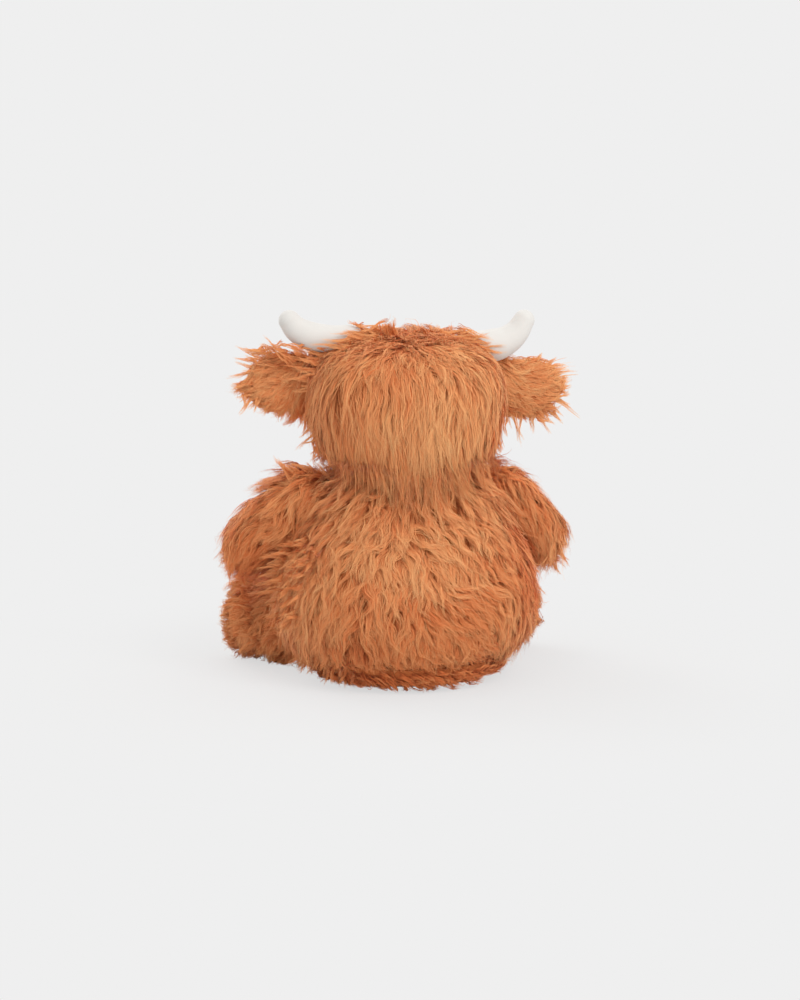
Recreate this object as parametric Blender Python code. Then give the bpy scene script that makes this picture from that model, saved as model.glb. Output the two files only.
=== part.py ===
"""Seated plush cow with long shaggy fur and short stuffed horns.

The toy is built as it is sewn: fur panels and sleeves as open shells, the fibre fill inside them, a bag of
pellets in the seat, a cloth muzzle and horns, and safety eyes locked by washers behind the face.
Metres, Z up. The face looks towards -Y, and the toy's own left is +X. The origin is on the floor, under
the middle of the neck.
"""

import math

import bmesh
import bpy
from mathutils import Matrix, Vector

X = Vector((1, 0, 0))
Y = Vector((0, 1, 0))
Z = Vector((0, 0, 1))
HALF = 0.5
FULL_TURN = 2 * math.pi

# Cloth, and the room that pieces leave each other
PILE = 0.007  # fur cloth with its pile lying down
SHORT_CLOTH = 0.0022  # the smooth cloth of muzzle and horns
GAP = 0.0003
SLACK = 0.0004  # extra room round a piece that a limb is fitted to
OVERRUN = 0.5  # cutters reach this far past what they cut

# Body, from the floor to the top of the shoulders
BODY_HEIGHT = 0.196
BODY_HALF_WIDTH = 0.116
BODY_BACK = 0.112
BODY_FRONT = 0.088
BODY_POWER = 2.1
BODY_SEGMENTS = 22
BASE_SEAM_HEIGHT = 0.019
BODY_SHARES = (  # height, half width, back, front
    (0.0, 0.64, 0.70, 0.71),
    (0.020, 0.72, 0.79, 0.81),
    (0.080, 0.79, 0.86, 0.90),
    (0.098, 0.775, 0.845, 0.88),
    (0.120, 0.82, 0.88, 0.91),
    (0.20, 0.92, 0.96, 0.97),
    (0.32, 0.99, 1.0, 1.0),
    (0.44, 1.0, 0.99, 0.99),
    (0.58, 0.94, 0.91, 0.92),
    (0.72, 0.83, 0.80, 0.81),
    (0.85, 0.71, 0.69, 0.70),
    (0.94, 0.60, 0.59, 0.62),
    (0.985, 0.50, 0.50, 0.55),
    (1.0, 0.42, 0.43, 0.49),
)

# Pellet bag, sitting on the base panel
BAG_RADIUS = 0.060
BAG_HEIGHT = 0.040
BAG_BACK = 0.017  # how far behind the origin its middle lies
BAG_SEGMENTS = 16
BAG_SHARES = (  # height, radius
    (0.0, 0.78),
    (0.18, 0.95),
    (0.50, 1.0),
    (0.82, 0.84),
    (1.0, 0.40),
)

# Neck: a ball of fill that both openings close on, with a crease round it
NECK_RADIUS = 0.040
NECK_CREASE = 0.004
NECK = Vector((0, 0, BODY_HEIGHT + NECK_CREASE * HALF))
NECK_TURN = (math.radians(-20), math.radians(20))
HEAD_NOD = (math.radians(-7), math.radians(9))
BALL_SEGMENTS = 14
HALF_STEP = Matrix.Rotation(math.pi / BALL_SEGMENTS, 3, "Z")
POLES_ALONG_X = Matrix(((0, 0, 1), (1, 0, 0), (0, 1, 0)))

# Head
HEAD_BASE = BODY_HEIGHT + NECK_CREASE
HEAD_HEIGHT = 0.116
HEAD_HALF_WIDTH = 0.088
HEAD_BACK = 0.083
HEAD_FRONT = 0.072
HEAD_POWER = 2.3
HEAD_SEGMENTS = 22
HEAD_SHARES = (  # height, half width, back, front
    (0.0, 0.69, 0.65, 0.69),
    (0.030, 0.85, 0.81, 0.84),
    (0.100, 0.93, 0.90, 0.92),
    (0.22, 0.975, 0.955, 0.955),
    (0.38, 0.995, 0.98, 0.985),
    (0.56, 1.0, 1.0, 1.0),
    (0.72, 0.96, 0.945, 0.95),
    (0.84, 0.86, 0.81, 0.82),
    (0.92, 0.69, 0.63, 0.63),
    (0.975, 0.43, 0.38, 0.38),
)

# Muzzle, pointing forwards from the lower face
MUZZLE_REACH = 0.112  # nose tip, ahead of the neck's axis
MUZZLE_ROOT = 0.035
MUZZLE_HALF_WIDTH = 0.046
MUZZLE_HALF_HEIGHT = 0.029
MUZZLE_HEIGHT_SHARE = 0.255  # of the head's height
MUZZLE_SEGMENTS = 16
MUZZLE_POWER = 2.2
MUZZLE_SHARES = (  # how far forwards, half width, half height
    (0.0, 0.94, 0.90),
    (0.42, 0.99, 0.98),
    (0.62, 1.0, 1.0),
    (0.80, 0.93, 0.93),
    (0.92, 0.74, 0.74),
    (0.98, 0.44, 0.44),
)

# Safety eyes and their washers
EYE_RADIUS = 0.0075
EYE_DOME = 0.0045
EYE_SEAT = 0.0016  # how deep the eye's flange sits in the pile
EYE_ACROSS_SHARE = 0.42  # of the head's half width
EYE_HEIGHT_SHARE = 0.585
EYE_TURN = math.radians(17)  # each eye looks outwards by this
SHANK_RADIUS = 0.0021
SHANK_LENGTH = 0.0125
WASHER_RADIUS = 0.0068
WASHER_THICKNESS = 0.0016
EYE_SEGMENTS = 12
EYE_SHARES = (  # how far up the dome, radius
    (0.5, 0.87),
    (0.87, 0.5),
)
FLANGE_SHARE = 0.9  # the flange's radius at its back
WASHER_EDGE_SHARE = 0.82

# Embroidered nostrils
NOSTRIL_HALF_WIDTH = 0.0036
NOSTRIL_HALF_HEIGHT = 0.0052
NOSTRIL_DEPTH = 0.0016
NOSTRIL_ACROSS_SHARE = 0.30
NOSTRIL_RISE_SHARE = 0.28
NOSTRIL_SEGMENTS = 8
NOSTRIL_RINGS = 6
NOSTRIL_END_SHARE = 0.75  # the muzzle's rings narrower than this form its front

# Fringe over the forehead, with locks along its lower edge
FRINGE_THICKNESS = 0.009
FRINGE_WIDTH_SHARE = 0.615  # of the head's half width
FRINGE_TOP_SHARE = 0.95  # of the head's height
FRINGE_CROWN_SHARE = 0.6  # of the fringe's own width, where it ends on the crown
FRINGE_BACK_SHARE = 0.42  # of the head's front
FRINGE_SHARES = (  # across, height of the head: down one side, lock by lock
    (1.0, 0.86),
    (0.93, 0.66),
    (0.80, 0.80),
    (0.66, 0.68),
    (0.57, 0.77),
    (0.44, 0.55),
    (0.33, 0.68),
    (0.19, 0.49),
    (0.09, 0.64),
    (0.0, 0.50),
)

# Ears
EAR_LENGTH = 0.057
EAR_HALF_WIDTH = 0.028
EAR_HALF_THICKNESS = 0.0088
EAR_ROOT_HALF_WIDTH = 0.025
EAR_HEIGHT_SHARE = 0.54  # of the head's height
EAR_FORWARD = 0.015
EAR_STAND = 0.0042  # the hinge line's distance from the head's side
EAR_DROOP = math.radians(5)
EAR_SEGMENTS = 12
EAR_ROOT_RINGS = 3
EAR_SWING = (math.radians(-25), math.radians(35))
EAR_SHARES = (  # how far out, half width, half thickness
    (0.20, 0.96, 0.98),
    (0.45, 1.0, 1.0),
    (0.68, 0.97, 0.96),
    (0.86, 0.80, 0.82),
    (0.96, 0.48, 0.56),
)

# Horns
HORN_RADIUS = 0.0135
HORN_SPAN = 0.106  # from the head's middle to the tip's centre
HORN_RISE = 0.0205
HORN_FOOT_SHARE = 0.87  # height on the head of the horn's foot
HORN_SEGMENTS = 10
HORN_TIP_RINGS = 3
HORN_SHARES = (  # across, rise, radius
    (0.42, 0.0, 1.0),
    (0.62, 0.0, 1.03),
    (0.76, 0.08, 1.0),
    (0.86, 0.26, 0.93),
    (0.94, 0.56, 0.82),
    (1.0, 1.0, 0.68),
)

# Arms
ARM_RADIUS = 0.0285
ARM_LENGTH = 0.066  # from the shoulder's centre to the centre of the end
ARM_END = 0.027
ARM_DROOP = math.radians(38)
ARM_FORWARD = math.radians(28)
ARM_SEGMENTS = 12
ARM_SHARES = ((0.0, 1.0), (0.35, 1.05), (0.70, 1.07), (1.0, 1.0))  # along, radius
SHOULDER_ACROSS_SHARE = 0.741  # of the body's half width
SHOULDER_FORWARD_SHARE = 0.09  # of the body's front
SHOULDER_HEIGHT_SHARE = 0.832
ARM_SWING = (math.radians(-6), math.radians(45))
OPENING_SHARE = 0.6  # of the sleeve's inner radius

# Legs, lying forwards and outwards on the floor
LEG_RADIUS = 0.041
LEG_LENGTH = 0.062
LEG_END = 0.024
LEG_SPLAY = math.radians(49)
LEG_PRESS = 0.003  # how much the floor flattens a leg
LEG_SEGMENTS = 12
LEG_SHARES = ((0.0, 1.0), (0.35, 1.02), (0.70, 0.99), (1.0, 0.95))  # along, radius
HIP_REACH = 0.097
SOLE_DEPTH = 0.013  # how deep the sole panel wraps round the foot's end
LEG_LIFT = (0.0, math.radians(25))

CAP_RINGS = 3  # rings in the round end of a limb
FIT_STEPS = 6  # steps of its swing that a limb or an ear is fitted at
NECK_FIT_STEPS = 2  # the same for each of the head's two movements
SHOULDERS_SHARE = 0.84  # the body above this height is what the head moves against


def clear_scene():
    for found in list(bpy.data.objects):
        bpy.data.objects.remove(found)


def finish_of(name, colour, roughness):
    """A plain material, shared by every piece cut from one cloth."""
    made = bpy.data.materials.new(name)
    made.use_nodes = True
    shader = made.node_tree.nodes["Principled BSDF"]
    shader.inputs["Base Color"].default_value = (*colour, 1)
    shader.inputs["Roughness"].default_value = roughness
    shader.inputs["Metallic"].default_value = 0
    return made


def new_object(name, mesh):
    data = bpy.data.meshes.new(name)
    mesh.to_mesh(data)
    mesh.free()
    made = bpy.data.objects.new(name, data)
    bpy.context.scene.collection.objects.link(made)
    return made


def loft(name, rings, tips=(None, None)):
    """A closed solid through rings of points. Each end is a flat cap, or runs to a tip where one is given."""
    mesh = bmesh.new()
    loops = [[mesh.verts.new(point) for point in ring] for ring in rings]
    for low, high in zip(loops, loops[1:]):
        for near, far in zip(range(len(low)), [*range(1, len(low)), 0]):
            mesh.faces.new((low[near], low[far], high[far], high[near]))
    for loop, tip in zip((loops[0], loops[-1]), tips):
        if tip is None:
            mesh.faces.new(loop)
            continue
        point = mesh.verts.new(tip)
        for near, far in zip(loop, [*loop[1:], loop[0]]):
            mesh.faces.new((near, far, point))
    bmesh.ops.triangulate(mesh, faces=mesh.faces)  # only flat faces stay true through several Booleans
    bmesh.ops.recalc_face_normals(mesh, faces=mesh.faces)
    return new_object(name, mesh)


def ring(centre, across, up, half_across, half_up, half_down, power, count):
    """Points round a closed curve between an ellipse and a box, with its own reach up and down."""
    points = []
    for step in range(count):
        angle = FULL_TURN * step / count
        flat, tall = math.cos(angle), math.sin(angle)
        along = math.copysign(abs(flat) ** (2 / power), flat) * half_across
        reach = half_up if tall > 0 else half_down
        over = math.copysign(abs(tall) ** (2 / power), tall) * reach
        points.append(centre + across * along + up * over)
    return points


def block(name, low, high):
    """A box between two corners."""
    mesh = bmesh.new()
    bmesh.ops.create_cube(mesh, size=1)
    for vertex in mesh.verts:
        vertex.co = Vector(b if c > 0 else a for a, b, c in zip(low, high, vertex.co))
    return new_object(name, mesh)


def ball(name, centre, radius, turn):
    mesh = bmesh.new()
    place = Matrix.Translation(centre) @ turn.to_4x4()
    bmesh.ops.create_uvsphere(
        mesh, u_segments=BALL_SEGMENTS, v_segments=BALL_SEGMENTS // 2, radius=radius, matrix=place
    )
    return new_object(name, mesh)


def seat_of_ball(name, centre, radius, depth=0.0, turn=HALF_STEP):
    """A cutter whose flat facets all clear a faceted ball that turns in it, with so much more or less depth."""
    facet = math.cos(math.pi / BALL_SEGMENTS) ** 2
    return ball(name, centre, (radius + GAP) / facet + depth, turn)


def combine(target, tool, operation):
    """Replaces target's mesh by its Boolean with tool, and removes the tool."""
    modifier = target.modifiers.new("Combine", "BOOLEAN")
    modifier.operation = operation
    modifier.object = tool
    graph = bpy.context.evaluated_depsgraph_get()
    made = bpy.data.meshes.new_from_object(target.evaluated_get(graph))
    target.modifiers.clear()
    target.data = made
    bpy.data.objects.remove(tool)
    return target


def cut(target, *tools):
    for tool in tools:
        combine(target, tool, "DIFFERENCE")
    return target


def keep(target, tool):
    return combine(target, tool, "INTERSECT")


def duplicate(source, name, place=None):
    made = source.copy()
    made.data = source.data.copy()
    made.name = name
    if place is not None:
        made.data.transform(place)
    bpy.context.scene.collection.objects.link(made)
    return made


def turned_about(pivot, axis, angle):
    back = Matrix.Translation(-pivot)
    return Matrix.Translation(pivot) @ Matrix.Rotation(angle, 4, axis) @ back


def angles_of(swing, steps):
    """The rest pose, and even steps from one limit of a swing to the other."""
    low, high = swing
    return sorted({0.0} | {low + (high - low) * step / steps for step in range(steps + 1)})


def fitted(piece, neighbour, pivot, axis, swing):
    """Cuts piece clear of a neighbour that stands still, over the whole swing of piece about its hinge."""
    for angle in angles_of(swing, FIT_STEPS):
        cut(piece, duplicate(neighbour, "fit_tool", turned_about(pivot, axis, -angle)))
    return piece


def moving_shoulders():
    """A convex cutter round the body's top, as the head sees it over every mix of turning and nodding."""
    body = body_form("body_tool", -SLACK)
    points = [vertex.co.copy() for vertex in body.data.vertices]
    bpy.data.objects.remove(body)
    mesh = bmesh.new()
    for turn in angles_of(NECK_TURN, NECK_FIT_STEPS):
        for nod in angles_of(HEAD_NOD, NECK_FIT_STEPS):
            place = turned_about(NECK, X, -nod) @ turned_about(NECK, Z, -turn)
            for point in points:
                if point.z > BODY_HEIGHT * SHOULDERS_SHARE:
                    mesh.verts.new(place @ point)
    hull = bmesh.ops.convex_hull(mesh, input=mesh.verts)
    bmesh.ops.delete(mesh, geom=hull["geom_interior"], context="VERTS")
    bmesh.ops.recalc_face_normals(mesh, faces=mesh.faces)
    return new_object("shoulders_tool", mesh)


def finished(piece, material):
    piece.data.materials.clear()
    piece.data.materials.append(material)
    piece.data.shade_smooth()
    piece.data.set_sharp_from_angle(angle=math.radians(40))
    return piece


def body_form(name, inset):
    """The body's outer form, taken in by inset all round."""
    rings = []
    for height, width, back, front in BODY_SHARES:
        level = inset + height * (BODY_HEIGHT - 2 * inset)
        rings.append(
            ring(
                Z * level,
                X,
                Y,
                BODY_HALF_WIDTH * width - inset,
                BODY_BACK * back - inset,
                BODY_FRONT * front - inset,
                BODY_POWER,
                BODY_SEGMENTS,
            )
        )
    return loft(name, rings)


def head_form(name, inset):
    """The head's outer form, taken in by inset all round."""
    rings = []
    for height, width, back, front in HEAD_SHARES:
        level = HEAD_BASE + inset + height * (HEAD_HEIGHT - 2 * inset)
        narrowing = max(HEAD_BACK * back - inset, GAP), max(HEAD_FRONT * front - inset, GAP)
        half_width = max(HEAD_HALF_WIDTH * width - inset, GAP)
        rings.append(ring(Z * level, X, Y, half_width, *narrowing, HEAD_POWER, HEAD_SEGMENTS))
    return loft(name, rings, (None, Z * (HEAD_BASE + HEAD_HEIGHT - inset)))


def limb_form(name, root, direction, radius, length, end, shares, segments, inset):
    """A stuffed limb: a ball at its root, a swelling tube, and a round end."""
    across = direction.cross(Z).normalized()
    up = across.cross(direction)
    stations = []
    for step in range(1, CAP_RINGS):
        angle = math.pi * HALF * step / CAP_RINGS
        stations.append((-(radius - inset) * math.cos(angle), (radius - inset) * math.sin(angle)))
    for along, width in shares:
        stations.append((length * along, radius * width - inset))
    last = radius * shares[-1][1] - inset
    for step in range(1, CAP_RINGS):
        angle = math.pi * HALF * step / CAP_RINGS
        stations.append((length + (end - inset) * math.sin(angle), last * math.cos(angle)))
    rings = [
        ring(root + direction * along, across, up, size, size, size, 2, segments)
        for along, size in stations
    ]
    tips = root - direction * (radius - inset), root + direction * (length + end - inset)
    return loft(name, rings, tips)


def shoulder(side):
    return Vector(
        (
            side * BODY_HALF_WIDTH * SHOULDER_ACROSS_SHARE,
            -BODY_FRONT * SHOULDER_FORWARD_SHARE,
            BODY_HEIGHT * SHOULDER_HEIGHT_SHARE,
        )
    )


def arm_direction(side):
    flat = math.cos(ARM_DROOP)
    ahead = -flat * math.sin(ARM_FORWARD)
    return Vector((side * flat * math.cos(ARM_FORWARD), ahead, -math.sin(ARM_DROOP)))


def hip(side):
    return Vector((*(leg_direction(side) * HIP_REACH).xy, LEG_RADIUS - LEG_PRESS))


def leg_direction(side):
    return Vector((side * math.sin(LEG_SPLAY), -math.cos(LEG_SPLAY), 0))


def lifting_axis(direction):
    """The level axis about which a limb lifts, by the right-hand rule."""
    return direction.cross(Z).normalized()


def arm_form(name, side, inset):
    return limb_form(
        name,
        shoulder(side),
        arm_direction(side),
        ARM_RADIUS,
        ARM_LENGTH,
        ARM_END,
        ARM_SHARES,
        ARM_SEGMENTS,
        inset,
    )


def leg_form(name, side, inset):
    return limb_form(
        name,
        hip(side),
        leg_direction(side),
        LEG_RADIUS,
        LEG_LENGTH,
        LEG_END,
        LEG_SHARES,
        LEG_SEGMENTS,
        inset,
    )


def limb_seats(depth):
    """Cutters for the hollows in the body that the limbs' round roots turn in."""
    seats = []
    for side in (1, -1):
        seats.append(seat_of_ball("arm_seat", shoulder(side), ARM_RADIUS, depth))
        seats.append(seat_of_ball("leg_seat", hip(side), LEG_RADIUS, depth))
    return seats


def neck_seat_in_body():
    """Cutter for the body's hollow, in which the ball of fill turns about the upright axis only."""
    size = (NECK_RADIUS + GAP) / math.cos(math.pi / BALL_SEGMENTS)
    return ball("neck_seat", NECK, size, HALF_STEP)


def neck_seat_in_head():
    """Cutter for the head's hollow. Its poles lie on the nodding axis, and its flats face the ball's corners."""
    return seat_of_ball("neck_seat", NECK, NECK_RADIUS, 0.0, POLES_ALONG_X)


def fitting_body():
    """The body a little large, and its hollows a little small, for cutting what sits against it."""
    return cut(body_form("fitting_body", -SLACK), *limb_seats(-GAP))


def everything_above(level):
    reach = Vector((OVERRUN, OVERRUN, OVERRUN))
    return block("above", Vector((-reach.x, -reach.y, level)), reach)


def everything_below(level):
    reach = Vector((OVERRUN, OVERRUN, OVERRUN))
    return block("below", -reach, Vector((reach.x, reach.y, level)))


def quarter(side, behind):
    """The space on one side of the toy, behind its middle or ahead of it, less half a seam's gap."""
    near = GAP * HALF
    low = Vector((near if side > 0 else -OVERRUN, near if behind else -OVERRUN, -OVERRUN))
    high = Vector((OVERRUN if side > 0 else -near, OVERRUN if behind else -near, OVERRUN))
    if side == 0:
        low.x, high.x = -OVERRUN, OVERRUN
    return block("quarter", low, high)


def bag_form(name, grow, foot):
    """The pellet bag, standing at the height of foot."""
    rings = []
    for height, width in BAG_SHARES:
        size = BAG_RADIUS * width + grow
        level = foot if height == 0 else PILE + GAP + height * BAG_HEIGHT + grow
        rings.append(ring(Y * BAG_BACK + Z * level, X, Y, size, size, size, 2, BAG_SEGMENTS))
    return loft(name, rings)


def build_body(fur, fibre, lining):
    """Fur panels, base, fill and pellet bag of the body."""
    shell = cut(body_form("shell", 0.0), neck_seat_in_body(), *limb_seats(0.0))
    inside = cut(body_form("inside", PILE), *limb_seats(PILE))
    cut(shell, inside)

    upper = duplicate(shell, "upper")
    keep(upper, everything_above(BASE_SEAM_HEIGHT + GAP * HALF))
    front = duplicate(upper, "body_front_panel")
    finished(keep(front, quarter(0, False)), fur)
    for side, name in ((1, "body_back_left_panel"), (-1, "body_back_right_panel")):
        finished(keep(duplicate(upper, name), quarter(side, True)), fur)
    bpy.data.objects.remove(upper)

    shell.name = "base_panel"
    finished(keep(shell, everything_below(BASE_SEAM_HEIGHT - GAP * HALF)), fur)

    fill = body_form("body_fill", PILE + GAP)
    cut(fill, neck_seat_in_body(), *limb_seats(PILE + GAP), bag_form("bag_room", GAP, 0.0))
    finished(fill, fibre)
    finished(bag_form("pellet_bag", 0.0, PILE + GAP), lining)


def build_neck(fibre):
    finished(ball("neck_fill", NECK, NECK_RADIUS, Matrix()), fibre)


def head_point(side, across_share, height_share):
    """A point on the head's outer form at a share of its half width and height, on the face side."""
    rows = list(zip(HEAD_SHARES, HEAD_SHARES[1:]))
    below, above = next(pair for pair in rows if pair[1][0] >= height_share)
    mix = (height_share - below[0]) / (above[0] - below[0])
    width, front = (low + (high - low) * mix for low, high in zip(below[1::2], above[1::2]))
    inner = (1 - (across_share / width) ** HEAD_POWER) ** (1 / HEAD_POWER)
    height = HEAD_BASE + HEAD_HEIGHT * height_share
    return Vector((side * HEAD_HALF_WIDTH * across_share, -HEAD_FRONT * front * inner, height))


def turned(name, origin, axis, profile, segments):
    """A solid of revolution about axis. The profile lists distance along it and radius, from tip to tip."""
    across = axis.cross(Z).normalized()
    up = across.cross(axis)
    rings = [
        ring(origin + axis * along, across, up, size, size, size, 2, segments)
        for along, size in profile
        if size > 0
    ]
    ends = profile[0], profile[-1]
    tips = [origin + axis * along if size == 0 else None for along, size in ends]
    return loft(name, rings, tips)


def eye_place(side):
    """Where an eye's flange lies, and which way the eye looks."""
    look = Vector((side * math.sin(EYE_TURN), -math.cos(EYE_TURN), 0))
    return head_point(side, EYE_ACROSS_SHARE, EYE_HEIGHT_SHARE) - look * EYE_SEAT, look


def eye_form(name, side, grow):
    """Dome, flange and shank of a safety eye in one piece."""
    origin, look = eye_place(side)
    rim, shank = EYE_RADIUS + grow, SHANK_RADIUS + grow
    profile = [
        (-SHANK_LENGTH - grow, 0),
        (-SHANK_LENGTH - grow, shank),
        (-grow, shank),
        (-grow, rim * FLANGE_SHARE),
        (EYE_SEAT * HALF, rim),
        (EYE_SEAT, rim),
    ]
    profile += [(EYE_SEAT + EYE_DOME * rise + grow, rim * width) for rise, width in EYE_SHARES]
    profile.append((EYE_SEAT + EYE_DOME + grow, 0))
    return turned(name, origin, look, profile, EYE_SEGMENTS)


def washer_start():
    """How far behind the flange the washer begins."""
    return PILE - EYE_SEAT + SHORT_CLOTH


def washer_form(name, side, grow):
    origin, look = eye_place(side)
    near = washer_start() - grow
    far = washer_start() + WASHER_THICKNESS + grow
    size = WASHER_RADIUS + grow
    middle = -(near + far) * HALF
    edge = size * WASHER_EDGE_SHARE
    profile = [(-far, 0), (-far, edge), (middle, size), (-near, size), (-near, 0)]
    return turned(name, origin, look, profile, EYE_SEGMENTS)


def shank_hole(side):
    """Cutter for the washer's hole, which grips the shank."""
    origin, look = eye_place(side)
    size = (SHANK_RADIUS + GAP) / math.cos(math.pi / EYE_SEGMENTS)
    far = SHANK_LENGTH + washer_start()
    profile = [(-far, 0), (-far, size), (far, size), (far, 0)]
    return turned("shank_hole", origin, look, profile, EYE_SEGMENTS)


def muzzle_centre():
    return HEAD_BASE + HEAD_HEIGHT * MUZZLE_HEIGHT_SHARE


def muzzle_form(name, inset):
    rings = []
    for ahead, width, tall in MUZZLE_SHARES:
        forward = MUZZLE_ROOT + ahead * (MUZZLE_REACH - MUZZLE_ROOT - inset)
        centre = Vector((0, -forward, muzzle_centre()))
        half_tall = MUZZLE_HALF_HEIGHT * tall - inset
        half_wide = MUZZLE_HALF_WIDTH * width - inset
        rings.append(
            ring(centre, X, Z, half_wide, half_tall, half_tall, MUZZLE_POWER, MUZZLE_SEGMENTS)
        )
    return loft(name, rings, (None, Vector((0, inset - MUZZLE_REACH, muzzle_centre()))))


def nostril_form(name, side, grow):
    """A lens of satin stitches, half sunk in the muzzle's front."""
    across = NOSTRIL_ACROSS_SHARE
    place = Vector((side * MUZZLE_HALF_WIDTH * across, 0, MUZZLE_HALF_HEIGHT * NOSTRIL_RISE_SHARE))
    place.z += muzzle_centre()
    spread = math.hypot(across, NOSTRIL_RISE_SHARE)
    rows = [(width, ahead) for ahead, width, _ in MUZZLE_SHARES if width <= NOSTRIL_END_SHARE]
    (wide, near), (narrow, far) = rows[:2]
    mix = (wide - spread) / (wide - narrow)
    ahead = min(1.0, near + (far - near) * mix)
    place.y = -(MUZZLE_ROOT + ahead * (MUZZLE_REACH - MUZZLE_ROOT))
    turn = math.atan2(side * across, 1.0)
    look = Vector((math.sin(turn), -math.cos(turn), 0))
    across_axis = look.cross(Z)
    sizes = NOSTRIL_HALF_WIDTH + grow, NOSTRIL_HALF_HEIGHT + grow, NOSTRIL_DEPTH + grow
    rings = []
    for step in range(1, NOSTRIL_RINGS):
        angle = math.pi * (step / NOSTRIL_RINGS - HALF)
        around = math.cos(angle)
        centre = place + look * sizes[2] * math.sin(angle)
        half_tall = sizes[1] * around
        rings.append(
            ring(centre, across_axis, Z, sizes[0] * around, half_tall, half_tall, 2, NOSTRIL_SEGMENTS)
        )
    return loft(name, rings, (place - look * sizes[2], place + look * sizes[2]))


def fringe_prism():
    """The outline of the fringe seen from the front, run back from in front of the face."""
    half_width = HEAD_HALF_WIDTH * FRINGE_WIDTH_SHARE
    side_points = [
        (half_width * across, HEAD_BASE + HEAD_HEIGHT * height) for across, height in FRINGE_SHARES
    ]
    top = HEAD_BASE + HEAD_HEIGHT * FRINGE_TOP_SHARE
    outline = [(-across, height) for across, height in side_points[:-1]]
    outline += side_points[::-1]
    crown = half_width * FRINGE_CROWN_SHARE
    outline += [(crown, top), (-crown, top)]
    front = [Vector((across, -OVERRUN, height)) for across, height in outline]
    near = -HEAD_FRONT * FRINGE_BACK_SHARE
    back = [Vector((across, near, height)) for across, height in outline]
    return loft("fringe_prism", [front, back])


def build_fringe(fur, fitting_head):
    """The fringe, as thick as it should be in front and thinner towards the crown."""
    fringe = head_form("fringe", 0.0)
    fringe.data.transform(Matrix.Translation(-Y * FRINGE_THICKNESS))
    keep(fringe, fringe_prism())
    finished(cut(fringe, duplicate(fitting_head, "tool"), muzzle_form("tool", -SLACK)), fur)


def ear_root(side):
    height = HEAD_BASE + HEAD_HEIGHT * EAR_HEIGHT_SHARE
    return Vector((side * (HEAD_HALF_WIDTH + EAR_STAND), -EAR_FORWARD, height))


def ear_axes(side):
    """Outwards along an ear, and upwards along its hinge line."""
    out = Vector((side * math.cos(EAR_DROOP), 0, -math.sin(EAR_DROOP)))
    return out, Vector((side * math.sin(EAR_DROOP), 0, math.cos(EAR_DROOP)))


def ear_form(name, side):
    """A leaf of two cloths. Its root is a solid of revolution about the hinge line."""
    out, up = ear_axes(side)
    root = ear_root(side)
    rings = []
    for step in range(1, EAR_ROOT_RINGS + 1):
        angle = math.pi * HALF * step / EAR_ROOT_RINGS
        back, size = math.cos(angle), math.sin(angle)
        centre = root - out * EAR_HALF_THICKNESS * back
        thick = EAR_HALF_THICKNESS * size
        tall = EAR_ROOT_HALF_WIDTH * size
        rings.append(ring(centre, up, Y, tall, thick, thick, 2, EAR_SEGMENTS))
    for along, width, depth in EAR_SHARES:
        centre = root + out * EAR_LENGTH * along
        thick = EAR_HALF_THICKNESS * depth
        rings.append(ring(centre, up, Y, EAR_HALF_WIDTH * width, thick, thick, 2, EAR_SEGMENTS))
    return loft(name, rings, (root - out * EAR_HALF_THICKNESS, root + out * EAR_LENGTH))


def ear_seat(side):
    """Cutter for the shallow hollow in the head that the ear's root turns in."""
    facet = math.cos(math.pi / EAR_SEGMENTS) ** 2
    size = (EAR_HALF_THICKNESS + GAP) / facet
    tall = (EAR_ROOT_HALF_WIDTH + GAP) / facet
    out, up = ear_axes(side)
    rings = []
    for step in range(1, 2 * EAR_ROOT_RINGS):
        angle = math.pi * step / (2 * EAR_ROOT_RINGS)
        centre = ear_root(side) - up * tall * math.cos(angle)
        around = size * math.sin(angle)
        rings.append(ring(centre, out, Y, around, around, around, 2, EAR_SEGMENTS))
    return loft("ear_seat", rings, (ear_root(side) - up * tall, ear_root(side) + up * tall))


def build_ears(fur, short, fitting_head):
    far = Vector((OVERRUN, OVERRUN, OVERRUN))
    middle = ear_root(1).y
    for side, word in ((1, "left"), (-1, "right")):
        behind = block("behind", Vector((-far.x, middle + GAP * HALF, -far.z)), far)
        ahead = block("ahead", -far, Vector((far.x, middle - GAP * HALF, far.z)))
        halves = (("_ear_back", behind, fur), ("_ear_lining", ahead, short))
        for ending, space, cloth in halves:
            half = keep(ear_form(word + ending, side), space)
            hinge = ear_root(side), -side * ear_axes(side)[1], EAR_SWING
            finished(fitted(half, fitting_head, *hinge), cloth)


def horn_form(name, side, inset):
    """A banana-shaped tube that runs out from the head and turns up to a round tip."""
    foot = HEAD_BASE + HEAD_HEIGHT * HORN_FOOT_SHARE
    centres = [
        Vector((side * HORN_SPAN * across, 0, foot + HORN_RISE * rise)) for across, rise, _ in HORN_SHARES
    ]
    sizes = [HORN_RADIUS * width - inset for _, _, width in HORN_SHARES]
    rings = []
    for i, centre in enumerate(centres):
        tangent = (centres[min(i + 1, len(centres) - 1)] - centres[max(i - 1, 0)]).normalized()
        side_axis = tangent.cross(Y)
        rings.append(ring(centre, Y, side_axis, sizes[i], sizes[i], sizes[i], 2, HORN_SEGMENTS))
    for step in range(1, HORN_TIP_RINGS):
        angle = math.pi * HALF * step / HORN_TIP_RINGS
        centre = centres[-1] + tangent * sizes[-1] * math.sin(angle)
        size = sizes[-1] * math.cos(angle)
        rings.append(ring(centre, Y, side_axis, size, size, size, 2, HORN_SEGMENTS))
    return loft(name, rings, (None, centres[-1] + tangent * sizes[-1]))


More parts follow.
